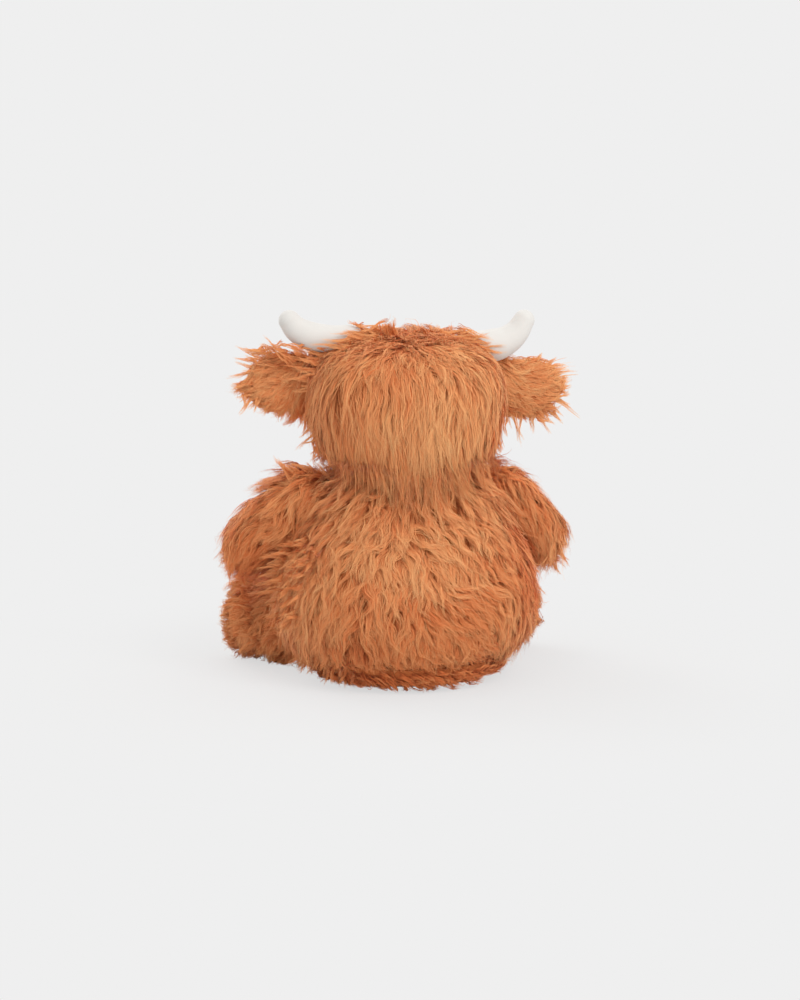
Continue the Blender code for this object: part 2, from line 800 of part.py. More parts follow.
def build_horns(cloth, fibre, fitting_head):
    for side, word in ((1, "left"), (-1, "right")):
        cover = horn_form(word + "_horn_cover", side, 0.0)
        cut(cover, duplicate(fitting_head, "tool"), horn_form("tool", side, SHORT_CLOTH))
        finished(cover, cloth)
        fill = horn_form(word + "_horn_fill", side, SHORT_CLOTH + GAP)
        finished(cut(fill, duplicate(fitting_head, "tool")), fibre)


def build_head(fur, short, horn_cloth, fibre, plastic, thread):
    """Head panels and fill, muzzle, eyes, nostrils and fringe."""
    shell = cut(head_form("shell", 0.0), moving_shoulders(), neck_seat_in_head())
    cut(shell, ear_seat(1), ear_seat(-1), head_form("inside", PILE))
    finished(keep(duplicate(shell, "head_back_panel"), quarter(0, True)), fur)
    shell.name = "head_face_panel"
    keep(shell, quarter(0, False))

    fill = cut(head_form("head_fill", PILE + GAP), neck_seat_in_head())
    for side, word in ((1, "left"), (-1, "right")):
        cut(shell, eye_form("tool", side, GAP))
        cut(fill, eye_form("tool", side, GAP), washer_form("tool", side, GAP))
        cut(shell, washer_form("tool", side, GAP))
        washer = cut(washer_form(word + "_eye_washer", side, 0.0), shank_hole(side))
        finished(washer, plastic)
        finished(eye_form(word + "_eye", side, 0.0), plastic)
    finished(shell, fur)
    finished(fill, fibre)

    fitting_head = cut(head_form("fitting_head", -SLACK), ear_seat(1), ear_seat(-1))
    muzzle = cut(muzzle_form("muzzle_cover", 0.0), duplicate(fitting_head, "tool"))
    cut(muzzle, muzzle_form("tool", SHORT_CLOTH))
    for side, word in ((1, "left"), (-1, "right")):
        cut(muzzle, nostril_form("tool", side, GAP))
        finished(nostril_form(word + "_nostril", side, 0.0), thread)
    finished(muzzle, short)
    stuffing = cut(muzzle_form("muzzle_fill", SHORT_CLOTH + GAP), duplicate(fitting_head, "tool"))
    cut(stuffing, nostril_form("tool", 1, GAP), nostril_form("tool", -1, GAP))
    finished(stuffing, fibre)

    build_fringe(fur, fitting_head)
    build_ears(fur, short, fitting_head)
    build_horns(horn_cloth, fibre, fitting_head)
    bpy.data.objects.remove(fitting_head)


def build_arms(fur, fibre):
    fitting = fitting_body()
    for side, word in ((1, "left"), (-1, "right")):
        place = shoulder(side), lifting_axis(arm_direction(side)), ARM_SWING
        whole = fitted(arm_form(word + "_arm_cover", side, 0.0), fitting, *place)
        fill = arm_form(word + "_arm_fill", side, PILE + GAP)
        core = duplicate(whole, "core")
        finished(keep(fill, core), fibre)
        finished(cut(whole, arm_form("tool", side, PILE), seam_opening(side)), fur)
    bpy.data.objects.remove(fitting)


def seam_opening(side):
    """Cutter for the open end of an arm's sleeve, where the arm is stuffed and then sewn on."""
    direction = arm_direction(side)
    size = (ARM_RADIUS - PILE) * OPENING_SHARE
    profile = [(-ARM_RADIUS - PILE, 0), (-ARM_RADIUS - PILE, size), (0.0, size), (0.0, 0)]
    return turned("opening", shoulder(side), direction, profile, ARM_SEGMENTS)


def build_legs(fur, short, fibre):
    fitting = fitting_body()
    for side, word in ((1, "left"), (-1, "right")):
        direction = leg_direction(side)
        place = hip(side), lifting_axis(direction), LEG_LIFT
        whole = fitted(leg_form("whole_leg", side, 0.0), fitting, *place)
        cut(whole, everything_below(GAP))
        fill = keep(leg_form(word + "_leg_fill", side, PILE + GAP), duplicate(whole, "core"))
        finished(fill, fibre)
        cut(whole, leg_form("tool", side, PILE))
        seam = hip(side) + direction * (LEG_LENGTH + LEG_END - SOLE_DEPTH)
        sole = duplicate(whole, word + "_sole")
        finished(keep(sole, beyond(seam + direction * GAP * HALF, direction)), short)
        whole.name = word + "_leg_cover"
        finished(cut(whole, beyond(seam - direction * GAP * HALF, direction)), fur)
    bpy.data.objects.remove(fitting)


def beyond(point, direction):
    """A block that holds everything past a plane through point, square to direction."""
    made = block("beyond", Vector((0, -OVERRUN, -OVERRUN)), Vector((OVERRUN,) * 3))
    made.data.transform(Matrix.Translation(point) @ direction.to_track_quat("X", "Z").to_matrix().to_4x4())
    return made


def pivot_of(name):
    """The joint that a piece moves on, or the toy's origin where it doesn't move."""
    side = 1 if name.startswith("left_") else -1
    if name.startswith(("body_", "base_", "pellet_")):
        return Vector()
    if "_ear_" in name:
        return ear_root(side)
    if "_arm_" in name:
        return shoulder(side)
    if "_leg_" in name or name.endswith("_sole"):
        return hip(side)
    return NECK


def put_origins_on_joints():
    for piece in bpy.data.objects:
        pivot = pivot_of(piece.name)
        piece.data.transform(Matrix.Translation(-pivot))
        piece.location = pivot


def main():
    clear_scene()
    fur = finish_of("long_fur", (0.60, 0.235, 0.085), 0.75)
    short = finish_of("short_cloth", (0.80, 0.72, 0.62), 0.85)
    horn_cloth = finish_of("horn_cloth", (0.86, 0.82, 0.77), 0.85)
    fibre = finish_of("fibre_fill", (0.87, 0.87, 0.85), 0.9)
    lining = finish_of("bag_cotton", (0.80, 0.78, 0.72), 0.85)
    plastic = finish_of("black_plastic", (0.012, 0.009, 0.008), 0.12)
    thread = finish_of("brown_thread", (0.09, 0.035, 0.018), 0.55)
    build_body(fur, fibre, lining)
    build_neck(fibre)
    build_head(fur, short, horn_cloth, fibre, plastic, thread)
    build_arms(fur, fibre)
    build_legs(fur, short, fibre)
    put_origins_on_joints()


main()
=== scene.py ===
"""Looks of the plush cow: locks of strands over sewn skins, cloth horns and muzzle, and a plain studio."""

import math

import bpy
import numpy as np
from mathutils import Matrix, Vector
from mathutils.bvhtree import BVHTree


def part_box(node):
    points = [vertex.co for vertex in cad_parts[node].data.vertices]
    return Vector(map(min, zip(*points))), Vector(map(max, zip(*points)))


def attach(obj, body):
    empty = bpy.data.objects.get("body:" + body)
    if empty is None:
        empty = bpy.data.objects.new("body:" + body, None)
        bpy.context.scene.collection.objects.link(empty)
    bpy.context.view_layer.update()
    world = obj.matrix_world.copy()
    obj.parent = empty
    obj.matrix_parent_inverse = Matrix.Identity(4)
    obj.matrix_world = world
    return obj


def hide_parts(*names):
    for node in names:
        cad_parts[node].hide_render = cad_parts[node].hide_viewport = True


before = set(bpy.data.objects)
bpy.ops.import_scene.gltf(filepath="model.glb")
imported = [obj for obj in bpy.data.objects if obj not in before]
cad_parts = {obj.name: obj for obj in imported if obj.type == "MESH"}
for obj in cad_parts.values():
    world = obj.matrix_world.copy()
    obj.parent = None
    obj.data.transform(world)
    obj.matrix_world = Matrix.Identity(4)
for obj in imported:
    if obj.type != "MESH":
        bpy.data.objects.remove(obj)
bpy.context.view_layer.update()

# Sizes shared with the solids, in metres
BODY_H, BODY_W, BODY_B, BODY_F = 0.196, 0.116, 0.112, 0.088
BODY_ROWS = np.array([
    (0.0, 0.64, 0.70, 0.71), (0.020, 0.72, 0.79, 0.81), (0.080, 0.79, 0.86, 0.90),
    (0.098, 0.775, 0.845, 0.88),
    (0.120, 0.82, 0.88, 0.91), (0.20, 0.92, 0.96, 0.97), (0.32, 0.99, 1.0, 1.0), (0.44, 1.0, 0.99, 0.99),
    (0.58, 0.94, 0.91, 0.92), (0.72, 0.83, 0.80, 0.81), (0.85, 0.71, 0.69, 0.70), (0.94, 0.60, 0.59, 0.62),
    (0.985, 0.50, 0.50, 0.55), (1.0, 0.42, 0.43, 0.49)])
HEAD_Z, HEAD_H, HEAD_W, HEAD_B, HEAD_F = 0.200, 0.116, 0.088, 0.083, 0.072
HEAD_ROWS = np.array([
    (0.0, 0.69, 0.65, 0.69), (0.030, 0.85, 0.81, 0.84), (0.100, 0.93, 0.90, 0.92),
    (0.22, 0.975, 0.955, 0.955),
    (0.38, 0.995, 0.98, 0.985), (0.56, 1.0, 1.0, 1.0), (0.72, 0.96, 0.945, 0.95), (0.84, 0.86, 0.81, 0.82),
    (0.92, 0.69, 0.63, 0.63), (0.975, 0.43, 0.38, 0.38), (1.0, 0.06, 0.05, 0.05)])
INSET = 0.0055  # the backing cloth lies this far under the fur's lying surface
CROWN_INSET = 0.0105  # and this far at the top of the head
FLOOR_GAP = 0.0022  # no lock's centre line comes nearer to the ground
HAIR = 0.00052  # the usual width of one strand


def unit(v):
    return v / np.maximum(np.linalg.norm(v, axis=-1, keepdims=True), 1e-12)


def smoothstep(a, b, x):
    t = np.clip((x - a) / (b - a), 0, 1)
    return t * t * (3 - 2 * t)


# Meshes

def raw_mesh(name, co, faces, uv=None):
    """A mesh from arrays. faces is (n, 3) or (n, 4)."""
    me = bpy.data.meshes.new(name)
    n, k = faces.shape
    me.vertices.add(len(co))
    me.vertices.foreach_set("co", np.ascontiguousarray(co, np.float32).ravel())
    me.loops.add(n * k)
    me.loops.foreach_set("vertex_index", np.ascontiguousarray(faces, np.int32).ravel())
    me.polygons.add(n)
    me.polygons.foreach_set("loop_start", np.arange(0, n * k, k, dtype=np.int32))
    if uv is not None:
        layer = me.uv_layers.new(name="OFBake")
        layer.data.foreach_set("uv", np.ascontiguousarray(uv[faces.ravel()], np.float32).ravel())
    me.update(calc_edges=True)
    me.shade_smooth()
    return me


def new_piece(name, me, material, body=None, replaces=()):
    obj = bpy.data.objects.new(name, me)
    bpy.context.scene.collection.objects.link(obj)
    if material is not None:
        me.materials.append(material)
    if body:
        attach(obj, body)
    if replaces:
        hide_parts(*replaces)
    return obj


def stuffed(name, skin, material, body, replaces):
    """A closed cloth form over stuffing."""
    obj = new_piece(name, raw_mesh(name, skin.co, skin.tri), material, body, replaces)


def grid(rings, tips=(None, None)):
    """Vertices and triangles of a closed surface through rings of equal count."""
    r, s = rings.shape[:2]
    co = rings.reshape(-1, 3)
    i = np.arange(r - 1)[:, None] * s
    a, b = np.arange(s)[None], (np.arange(s)[None] + 1) % s
    q = np.stack([i + a, i + b, i + s + b, i + s + a], -1).reshape(-1, 4)
    tri = np.concatenate([q[:, [0, 1, 2]], q[:, [0, 2, 3]]])
    extra = []
    for end, tip in ((0, tips[0]), (r - 1, tips[1])):
        centre = rings[end].mean(0) if tip is None else np.array(tip)
        co = np.vstack([co, centre])
        ring_ids = end * s + np.arange(s)
        nxt = end * s + (np.arange(s) + 1) % s
        c = np.full(s, len(co) - 1)
        extra.append(np.stack([nxt, ring_ids, c] if end == 0 else [ring_ids, nxt, c], -1))
    return co, np.concatenate([tri, *extra])


def superellipse(angles, hw, back, front, power):
    c, s = np.cos(angles), np.sin(angles)
    x = np.sign(c) * np.abs(c) ** (2 / power) * hw
    y = np.sign(s) * np.abs(s) ** (2 / power) * np.where(s > 0, back, front)
    return x, y


def fine_rows(rows, count, blur):
    """Rows of shares, resampled closely and blurred so that no ring shows as an edge."""
    t = np.linspace(0, 1, 801)
    cols = [np.interp(t, rows[:, 0], rows[:, i]) for i in (1, 2, 3)]
    k = np.exp(-0.5 * (np.arange(-60, 61) / (blur * 800)) ** 2)
    k /= k.sum()
    cols = [np.convolve(np.pad(c, 60, mode="reflect", reflect_type="odd"), k, "valid") for c in cols]
    pick = np.linspace(0, 1, count)
    return np.stack([pick, *[np.interp(pick, t, c) for c in cols]], 1)


def body_rings(inset, low=0.0, high=1.0, count=64, segments=72):
    rows = fine_rows(BODY_ROWS, 400, 0.012)
    picks = np.linspace(low, high, count)
    angles = np.linspace(0, 2 * math.pi, segments, endpoint=False)
    rings = []
    for h in picks:
        w, b, f = (np.interp(h, rows[:, 0], rows[:, i]) for i in (1, 2, 3))
        x, y = superellipse(angles, BODY_W * w - inset, BODY_B * b - inset, BODY_F * f - inset, 2.1)
        z = np.full_like(x, inset + h * (BODY_H - 2 * inset))
        rings.append(np.stack([x, y, z], 1))
    return np.array(rings)


def head_rings(inset, count=70, segments=80):
    rows = fine_rows(HEAD_ROWS, 400, 0.010)
    t = np.linspace(0, 1, count)
    picks = 0.5 - 0.5 * np.cos(math.pi * t)
    angles = np.linspace(0, 2 * math.pi, segments, endpoint=False)
    rings = []
    for h in picks:
        w, b, f = (np.interp(h, rows[:, 0], rows[:, i]) for i in (1, 2, 3))
        half = max(HEAD_W * w - inset, 0.001)
        x, y = superellipse(angles, half, max(HEAD_B * b - inset, 0.001), max(HEAD_F * f - inset, 0.001), 2.3)
        rings.append(np.stack([x, y, np.full_like(x, HEAD_Z + inset + h * (HEAD_H - inset - CROWN_INSET))],
                              1))
    return np.array(rings)


def tube_rings(centres, radii, side_axis, up_axis, segments=40):
    a = np.linspace(0, 2 * math.pi, segments, endpoint=False)
    ring = np.cos(a)[:, None] * np.array(side_axis) + np.sin(a)[:, None] * np.array(up_axis)
    return np.array([np.array(c) + r * ring for c, r in zip(centres, radii)])


class Skin:
    """A closed cloth surface that fur grows from."""

    def __init__(self, co, tri):
        a, b, c = co[tri[:, 0]], co[tri[:, 1]], co[tri[:, 2]]
        if (a * np.cross(b, c)).sum() < 0:
            tri = tri[:, ::-1]
        self.co, self.tri = co, tri
        a, b, c = co[tri[:, 0]], co[tri[:, 1]], co[tri[:, 2]]
        cross = np.cross(b - a, c - a)
        self.area = np.linalg.norm(cross, axis=1) / 2
        normals = np.zeros_like(co)
        for i in range(3):
            np.add.at(normals, tri[:, i], cross)
        self.normals = unit(normals)
        self.tree = BVHTree.FromPolygons(co.tolist(), tri.tolist())

    def sample(self, density, keep, seed):
        """Roots at so many to a square metre, where keep says so."""
        r = np.random.default_rng(seed)
        n = int(self.area.sum() * density)
        face = r.choice(len(self.area), n, p=self.area / self.area.sum())
        u, v = r.random(n), r.random(n)
        flip = u + v > 1
        u[flip], v[flip] = 1 - u[flip], 1 - v[flip]
        w = np.stack([1 - u - v, u, v], 1)[:, :, None]
        ids = self.tri[face]
        p, nrm = (self.co[ids] * w).sum(1), unit((self.normals[ids] * w).sum(1))
        ok = keep(p, nrm)
        return p[ok], nrm[ok]

    def nearest(self, q):
        loc, nrm = np.empty_like(q), np.empty_like(q)
        find = self.tree.find_nearest
        for i, point in enumerate(q.tolist()):
            a, b, _, _ = find(point)
            loc[i], nrm[i] = a, b
        return loc, nrm


# Fur

def swirl(p, scale, seed):
    """Smooth noise between about -1 and 1, of that wavelength in metres."""
    r = np.random.default_rng(seed)
    total = np.zeros(len(p))
    for _ in range(5):
        k = unit(r.normal(size=3)) * (2 * math.pi / (scale * r.uniform(0.7, 1.6)))
        total += np.sin(p @ k + r.uniform(0, 2 * math.pi))
    return total / 2.4


def turn(d, n, angle):
    c, s = np.cos(angle)[:, None], np.sin(angle)[:, None]
    return d * c + np.cross(n, d) * s + n * (d * n).sum(1, keepdims=True) * (1 - c)


def tangent(d, n):
    return unit(d - n * (d * n).sum(1, keepdims=True))


def grow(skin, roots, normals, flow, length, rise, seed, wave=0.35, wave_len=0.022, droop=0.25, steps=7,
         stray=0.2, cling=0.8, sag=0.4):
    """Centre lines of the locks. They follow the flow, rise off the cloth, wave and hang."""
    r = np.random.default_rng(seed)
    n = len(roots)
    length = np.broadcast_to(length, n) * r.uniform(0.75, 1.25, n)
    rise = np.broadcast_to(rise, n) * r.uniform(0.35, 1.4, n)
    hold = np.clip(np.broadcast_to(cling, n) * r.uniform(0.7, 1.2, n), 0, 1)[:, None]
    phase, bend = r.uniform(0, 2 * math.pi, n), r.normal(0, stray, n)
    curl = r.normal(0, 0.35, n)
    wavy = wave * r.uniform(0.4, 1.4, n)
    out, norm = np.empty((n, steps, 3)), np.empty((n, steps, 3))
    p, nrm = roots.copy(), normals.copy()
    heading = tangent(flow(p, nrm), nrm)
    for k in range(steps):
        out[:, k], norm[:, k] = p, nrm
        if k == steps - 1:
            break
        t = (k + 1) / (steps - 1)
        heading = unit(heading * 0.30 + tangent(flow(p, nrm), nrm) * 0.70)
        angle = bend + curl * t + wavy * np.sin(phase + 2 * math.pi * t * length / wave_len)
        d = turn(heading, nrm, angle)
        step = (length / (steps - 1))[:, None]
        q = p + d * step
        q[:, 2] -= droop * t * step[:, 0]
        loc, near = skin.nearest(q)
        follow = smoothstep(0.1, 0.7, (near * nrm).sum(1))[:, None] * hold
        target = loc + near * (rise * (1 - (1 - t) ** 2.2))[:, None]
        low = ((q - loc) * near).sum(1, keepdims=True) < 0.0015
        q = q + (target - q) * np.where(low, 1.0, follow)
        q[:, 2] -= sag * step[:, 0] * (1 - follow[:, 0]) * t
        q[:, 2] = np.maximum(q[:, 2], FLOOR_GAP)
        p = q
        nrm = unit(nrm * (1 - 0.7 * follow) + near * 0.7 * follow)
    return out, norm


def strands(name, lines, norms, cap, spread, width, shade, seed, subs=4, clump=0.6, frizz=0.0007, fly=0.03,
            gather=0.9, ragged=0.72):
    """The mesh of ribbons of hair round each centre line, gathered into a few points at its tip."""
    r = np.random.default_rng(seed)
    g, k = lines.shape[:2]
    each = max(1, int(cap / (2 * (k - 1)) / g / subs))
    t = np.linspace(0, 1, k)
    shape = (g, subs, each)
    free = r.random(shape) < fly
    reach = r.uniform(ragged, 1.0, (g, subs, 1)) * r.uniform(ragged, 1.0, shape)
    at = (reach[..., None] * (k - 1) * t).reshape(g, -1, k)
    lo = np.minimum(at.astype(int), k - 2)
    f = (at - lo)[..., None]
    rows = np.arange(g)[:, None, None]
    line = (lines[rows, lo] * (1 - f) + lines[rows, lo + 1] * f).reshape(*shape, k, 3)
    nrm = (norms[rows, lo] * (1 - f) + norms[rows, lo + 1] * f).reshape(*shape, k, 3)
    along = unit(lines[:, 1] - lines[:, 0])
    across = unit(np.cross(norms[:, 0], along))
    axes = [v[:, None, None] for v in (across, along, norms[:, 0])]
    size = (np.broadcast_to(spread, g) * r.uniform(0.7, 1.35, g))[:, None, None, None]

    def scatter(dims, scale):
        spans = (1.0, 0.9, 0.25)
        return sum(a * r.normal(0, w * 1.0, (*dims, 1)) for a, w in zip(axes, spans)) * size * scale

    big, small = scatter((g, subs, 1), 1.0), scatter(shape, 0.42)
    tt = t[None, None, None, :, None]
    still = np.where(free, 0.25, 1.0)[..., None, None]
    line = line + big[..., None, :] * (1 - clump * still * smoothstep(0.05, 0.95, tt))
    line = line + small[..., None, :] * (1 - gather * still * smoothstep(0.10, 0.90, tt))
    sway = 0.0011 * np.sin(r.uniform(0, 6.3, (g, subs, 1, 1, 3)) + tt * r.uniform(3, 8, (g, subs, 1, 1, 3)))
    kink = frizz * np.sin(r.uniform(0, 6.3, (*shape, 1, 3)) + tt * r.uniform(4, 14, (*shape, 1, 3)))
    line = line + (sway + kink * np.where(free, 3.0, 1.0)[..., None, None]) * tt
    line = line + nrm * (np.where(free, 0.0035, 0.0) * r.random(shape))[..., None, None] * tt
    count = g * subs * each
    line, nrm = line.reshape(count, k, 3), nrm.reshape(count, k, 3)
    forward = unit(np.gradient(line, axis=1))
    side = unit(np.cross(forward, unit(nrm)))
    twist = r.uniform(-0.9, 0.9, (count, 1, 1))
    side = unit(side * np.cos(twist) + np.cross(side, forward) * np.sin(twist))
    taper = (0.6 + 0.4 * smoothstep(0.0, 0.25, t)) * (1 - 0.86 * smoothstep(0.40, 1.0, t))
    wide = width * r.uniform(0.7, 1.3, (count, 1, 1)) * taper[None, :, None]
    co = np.stack([line - side * wide / 2, line + side * wide / 2], 2)
    co[..., 2] = np.maximum(co[..., 2], 0.0003)
    base = (np.arange(count) * k * 2)[:, None] + np.arange(k - 1)[None] * 2
    quads = np.stack([base, base + 1, base + 3, base + 2], -1).reshape(-1, 4)
    tone = np.broadcast_to(shade, g)[:, None, None] + r.normal(0, 0.09, (g, subs, 1)) + r.normal(0, 0.15,
            shape)
    tone = np.clip(tone, 0.02, 0.98).reshape(count)
    uv = np.empty((count, k, 2, 2))
    uv[..., 0] = tone[:, None, None] + np.array([-0.01, 0.01])[None, None]
    uv[..., 1] = (0.02 + 0.96 * t)[None, :, None]
    me = raw_mesh(name, co.reshape(-1, 3), quads, uv.reshape(-1, 2))
    flat = np.cross(side, forward)
    flat *= np.sign((flat * nrm).sum(-1, keepdims=True))
    soft = unit(unit(nrm) * 0.65 + flat * 0.55)
    me.normals_split_custom_set_from_vertices(np.repeat(soft.reshape(-1, 3), 2, axis=0).tolist())
    return me


# Materials

def new_material(name, roughness=0.8, specular=0.3):
    m = bpy.data.materials.new(name)
    m.use_nodes = True
    nodes = m.node_tree.nodes
    shader = nodes["Principled BSDF"]
    shader.inputs["Roughness"].default_value = roughness
    shader.inputs["Specular IOR Level"].default_value = specular
    return m, nodes, m.node_tree.links, shader


def ramp(nodes, stops):
    node = nodes.new("ShaderNodeValToRGB")
    els = node.color_ramp.elements
    while len(els) > len(stops):
        els.remove(els[-1])
    while len(els) < len(stops):
        els.new(1.0)
    for el, (pos, col) in zip(els, stops):
        el.position, el.color = pos, (*col, 1)
    return node


def fur_material(name, dark, pale, roughness=0.62):
    """Colour along each hair, from its root to its tip, between a darker and a paler hair. The darker roots
    are partly painted shade deep among the locks.
    """
    m, nodes, links, shader = new_material(name, roughness, 0.25)
    uv = nodes.new("ShaderNodeUVMap")
    uv.uv_map = "OFBake"
    split = nodes.new("ShaderNodeSeparateXYZ")
    links.new(uv.outputs[0], split.inputs[0])
    a, b = ramp(nodes, dark), ramp(nodes, pale)
    mix = nodes.new("ShaderNodeMix")
    mix.data_type = "RGBA"
    links.new(split.outputs["Y"], a.inputs[0])
    links.new(split.outputs["Y"], b.inputs[0])
    links.new(split.outputs["X"], mix.inputs["Factor"])
    links.new(a.outputs[0], mix.inputs["A"])
    links.new(b.outputs[0], mix.inputs["B"])
    links.new(mix.outputs["Result"], shader.inputs["Base Color"])
    shader.inputs["Sheen Weight"].default_value = 0.12
    shader.inputs["Sheen Roughness"].default_value = 0.5
    return m


def cloth_material(name, colour, second, scale=900.0, bump=0.25, roughness=0.85, mottle=60.0):
    """Short smooth pile: fine grain, soft mottling and a little sheen."""
    m, nodes, links, shader = new_material(name, roughness, 0.2)
    coord = nodes.new("ShaderNodeTexCoord")
    fine, soft = nodes.new("ShaderNodeTexNoise"), nodes.new("ShaderNodeTexNoise")
    fine.inputs["Scale"].default_value, soft.inputs["Scale"].default_value = scale, mottle
    fine.inputs["Detail"].default_value, soft.inputs["Detail"].default_value = 4.0, 3.0
    for node in (fine, soft):
        links.new(coord.outputs["Object"], node.inputs["Vector"])
    mixed = nodes.new("ShaderNodeMix")
    mixed.data_type = "RGBA"
    mixed.inputs["A"].default_value, mixed.inputs["B"].default_value = (*colour, 1), (*second, 1)
    shaped = ramp(nodes, [(0.35, (0, 0, 0)), (0.68, (1, 1, 1))])
    add = nodes.new("ShaderNodeMath")
    add.operation = "MULTIPLY_ADD"
    add.inputs[1].default_value, add.inputs[2].default_value = 0.45, 0.0
    half = nodes.new("ShaderNodeMath")
    half.operation = "MULTIPLY_ADD"
    half.inputs[1].default_value = 0.55
    links.new(fine.outputs["Fac"], add.inputs[0])
    links.new(soft.outputs["Fac"], half.inputs[0])
    links.new(add.outputs[0], half.inputs[2])
    links.new(half.outputs[0], shaped.inputs[0])
    links.new(shaped.outputs[0], mixed.inputs["Factor"])
    links.new(mixed.outputs["Result"], shader.inputs["Base Color"])
    bumped = nodes.new("ShaderNodeBump")
    bumped.inputs["Strength"].default_value = bump
    bumped.inputs["Distance"].default_value = 0.0004
    links.new(fine.outputs["Fac"], bumped.inputs["Height"])
    links.new(bumped.outputs[0], shader.inputs["Normal"])
    shader.inputs["Sheen Weight"].default_value = 0.25
    shader.inputs["Sheen Roughness"].default_value = 0.4
    return m


# Roots darker than tips: partly painted shade deep among the locks
FUR = fur_material(
    "ginger_hair",
    [(0.0, (0.46, 0.096, 0.022)), (0.35, (0.72, 0.176, 0.045)), (1.0, (0.88, 0.275, 0.080))],
    [(0.0, (0.64, 0.205, 0.060)), (0.35, (0.92, 0.415, 0.152)), (1.0, (0.97, 0.59, 0.262))])
SKIN = cloth_material("fur_backing", (0.50, 0.135, 0.036), (0.60, 0.175, 0.050), 500, 0.3)
HORN = cloth_material("horn_velour", (0.715, 0.695, 0.662), (0.75, 0.73, 0.695), 1400, 0.25, 0.9, 35)
CREAM = cloth_material("cream_velour", (0.74, 0.63, 0.50), (0.80, 0.70, 0.58), 1100, 0.35, 0.9, 40)
LINING = cloth_material("ear_lining_cloth", (0.62, 0.33, 0.19), (0.70, 0.42, 0.26), 900, 0.4, 0.9, 60)
THREAD = cloth_material("brown_satin_stitch", (0.075, 0.028, 0.014), (0.11, 0.045, 0.022), 1600, 0.5, 0.5,
                        200)


def plastic_material():
    m, nodes, links, shader = new_material("polished_black_plastic", 0.10, 0.35)
    coord, noise = nodes.new("ShaderNodeTexCoord"), nodes.new("ShaderNodeTexNoise")
    noise.inputs["Scale"].default_value = 240
    links.new(coord.outputs["Object"], noise.inputs["Vector"])
    tint = ramp(nodes, [(0.3, (0.010, 0.007, 0.006)), (0.7, (0.020, 0.013, 0.010))])
    links.new(noise.outputs["Fac"], tint.inputs[0])
    links.new(tint.outputs[0], shader.inputs["Base Color"])
    shader.inputs["Coat Weight"].default_value = 0.15
    shader.inputs["Coat Roughness"].default_value = 0.05
    return m


PLASTIC = plastic_material()
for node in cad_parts.values():
    node.data.materials.clear()
    node.data.materials.append(PLASTIC if "eye" in node.name else CREAM)

# Limbs' places, as in the solids

ARM_R, ARM_L, ARM_END = 0.0285, 0.066, 0.027
LEG_R, LEG_L, LEG_END = 0.041, 0.062, 0.024


def arm_frame(side):
    droop, ahead = math.radians(38), math.radians(28)
    d = np.array([side * math.cos(droop) * math.cos(ahead), -math.cos(droop) * math.sin(ahead),
                  -math.sin(droop)])
    return np.array([side * 0.085956, -0.00792, 0.163072]), d


def leg_frame(side):
    a = math.radians(49)
    return np.array([side * 0.073207, -0.063638, 0.038]), np.array([side * math.sin(a), -math.cos(a), 0.0])


def limb_axes(d):
    across = np.cross(d, (0, 0, 1.0))
    across /= np.linalg.norm(across)
    return across, np.cross(across, d)


def limb_skin(root, d, radius, length, end, shares, inset):
    xs, ys = zip(*shares)
    cap = np.linspace(0.04, 1, 9)
    stations = [(-(radius - inset) * math.cos(a * math.pi / 2), (radius - inset) *
                 math.sin(a * math.pi / 2)) for a in cap[:-1]]
    for t in np.linspace(0, 1, 16):
        stations.append((length * t, radius * np.interp(t, xs, ys) - inset))
    last = radius * ys[-1] - inset
    for a in cap:
        stations.append((length + (end - inset) * math.sin(a * math.pi / 2 * 0.98),
                         max(last * math.cos(a * math.pi / 2 * 0.98), 0.0005)))
    side, up = limb_axes(d)
    rings = tube_rings([root + d * s for s, _ in stations], [r for _, r in stations], side, up)
    tips = root - d * (radius - inset), root + d * (length + end - inset)
    return grid(rings, tips)


def inside_limb(p, root, d, length, radius):
    t = np.clip((p - root) @ d, 0, length)
    return np.linalg.norm(p - root - t[:, None] * d, axis=1) < radius


def body_level(p, inset):
    """Above 0 outside the body's form taken in by inset, in metres, roughly."""
    rows = fine_rows(BODY_ROWS, 400, 0.012)
    h = np.clip(p[:, 2] / BODY_H, 0, 1)
    w, b, f = (np.interp(h, rows[:, 0], rows[:, i]) for i in (1, 2, 3))
    a = BODY_W * w - inset
    c = np.where(p[:, 1] > 0, BODY_B * b, BODY_F * f) - inset
    q = (np.abs(p[:, 0] / a) ** 2.1 + np.abs(p[:, 1] / c) ** 2.1) ** (1 / 2.1)
    return (q - 1) * np.minimum(a, c)


ARM_SHARES = ((0.0, 1.0), (0.35, 1.05), (0.70, 1.07), (1.0, 1.0))
LEG_SHARES = ((0.0, 1.0), (0.35, 1.02), (0.70, 0.99), (1.0, 0.95))
ARMS = {s: arm_frame(s) for s in (1, -1)}
LEGS = {s: leg_frame(s) for s in (1, -1)}
WORD = {1: "left", -1: "right"}

# Combing

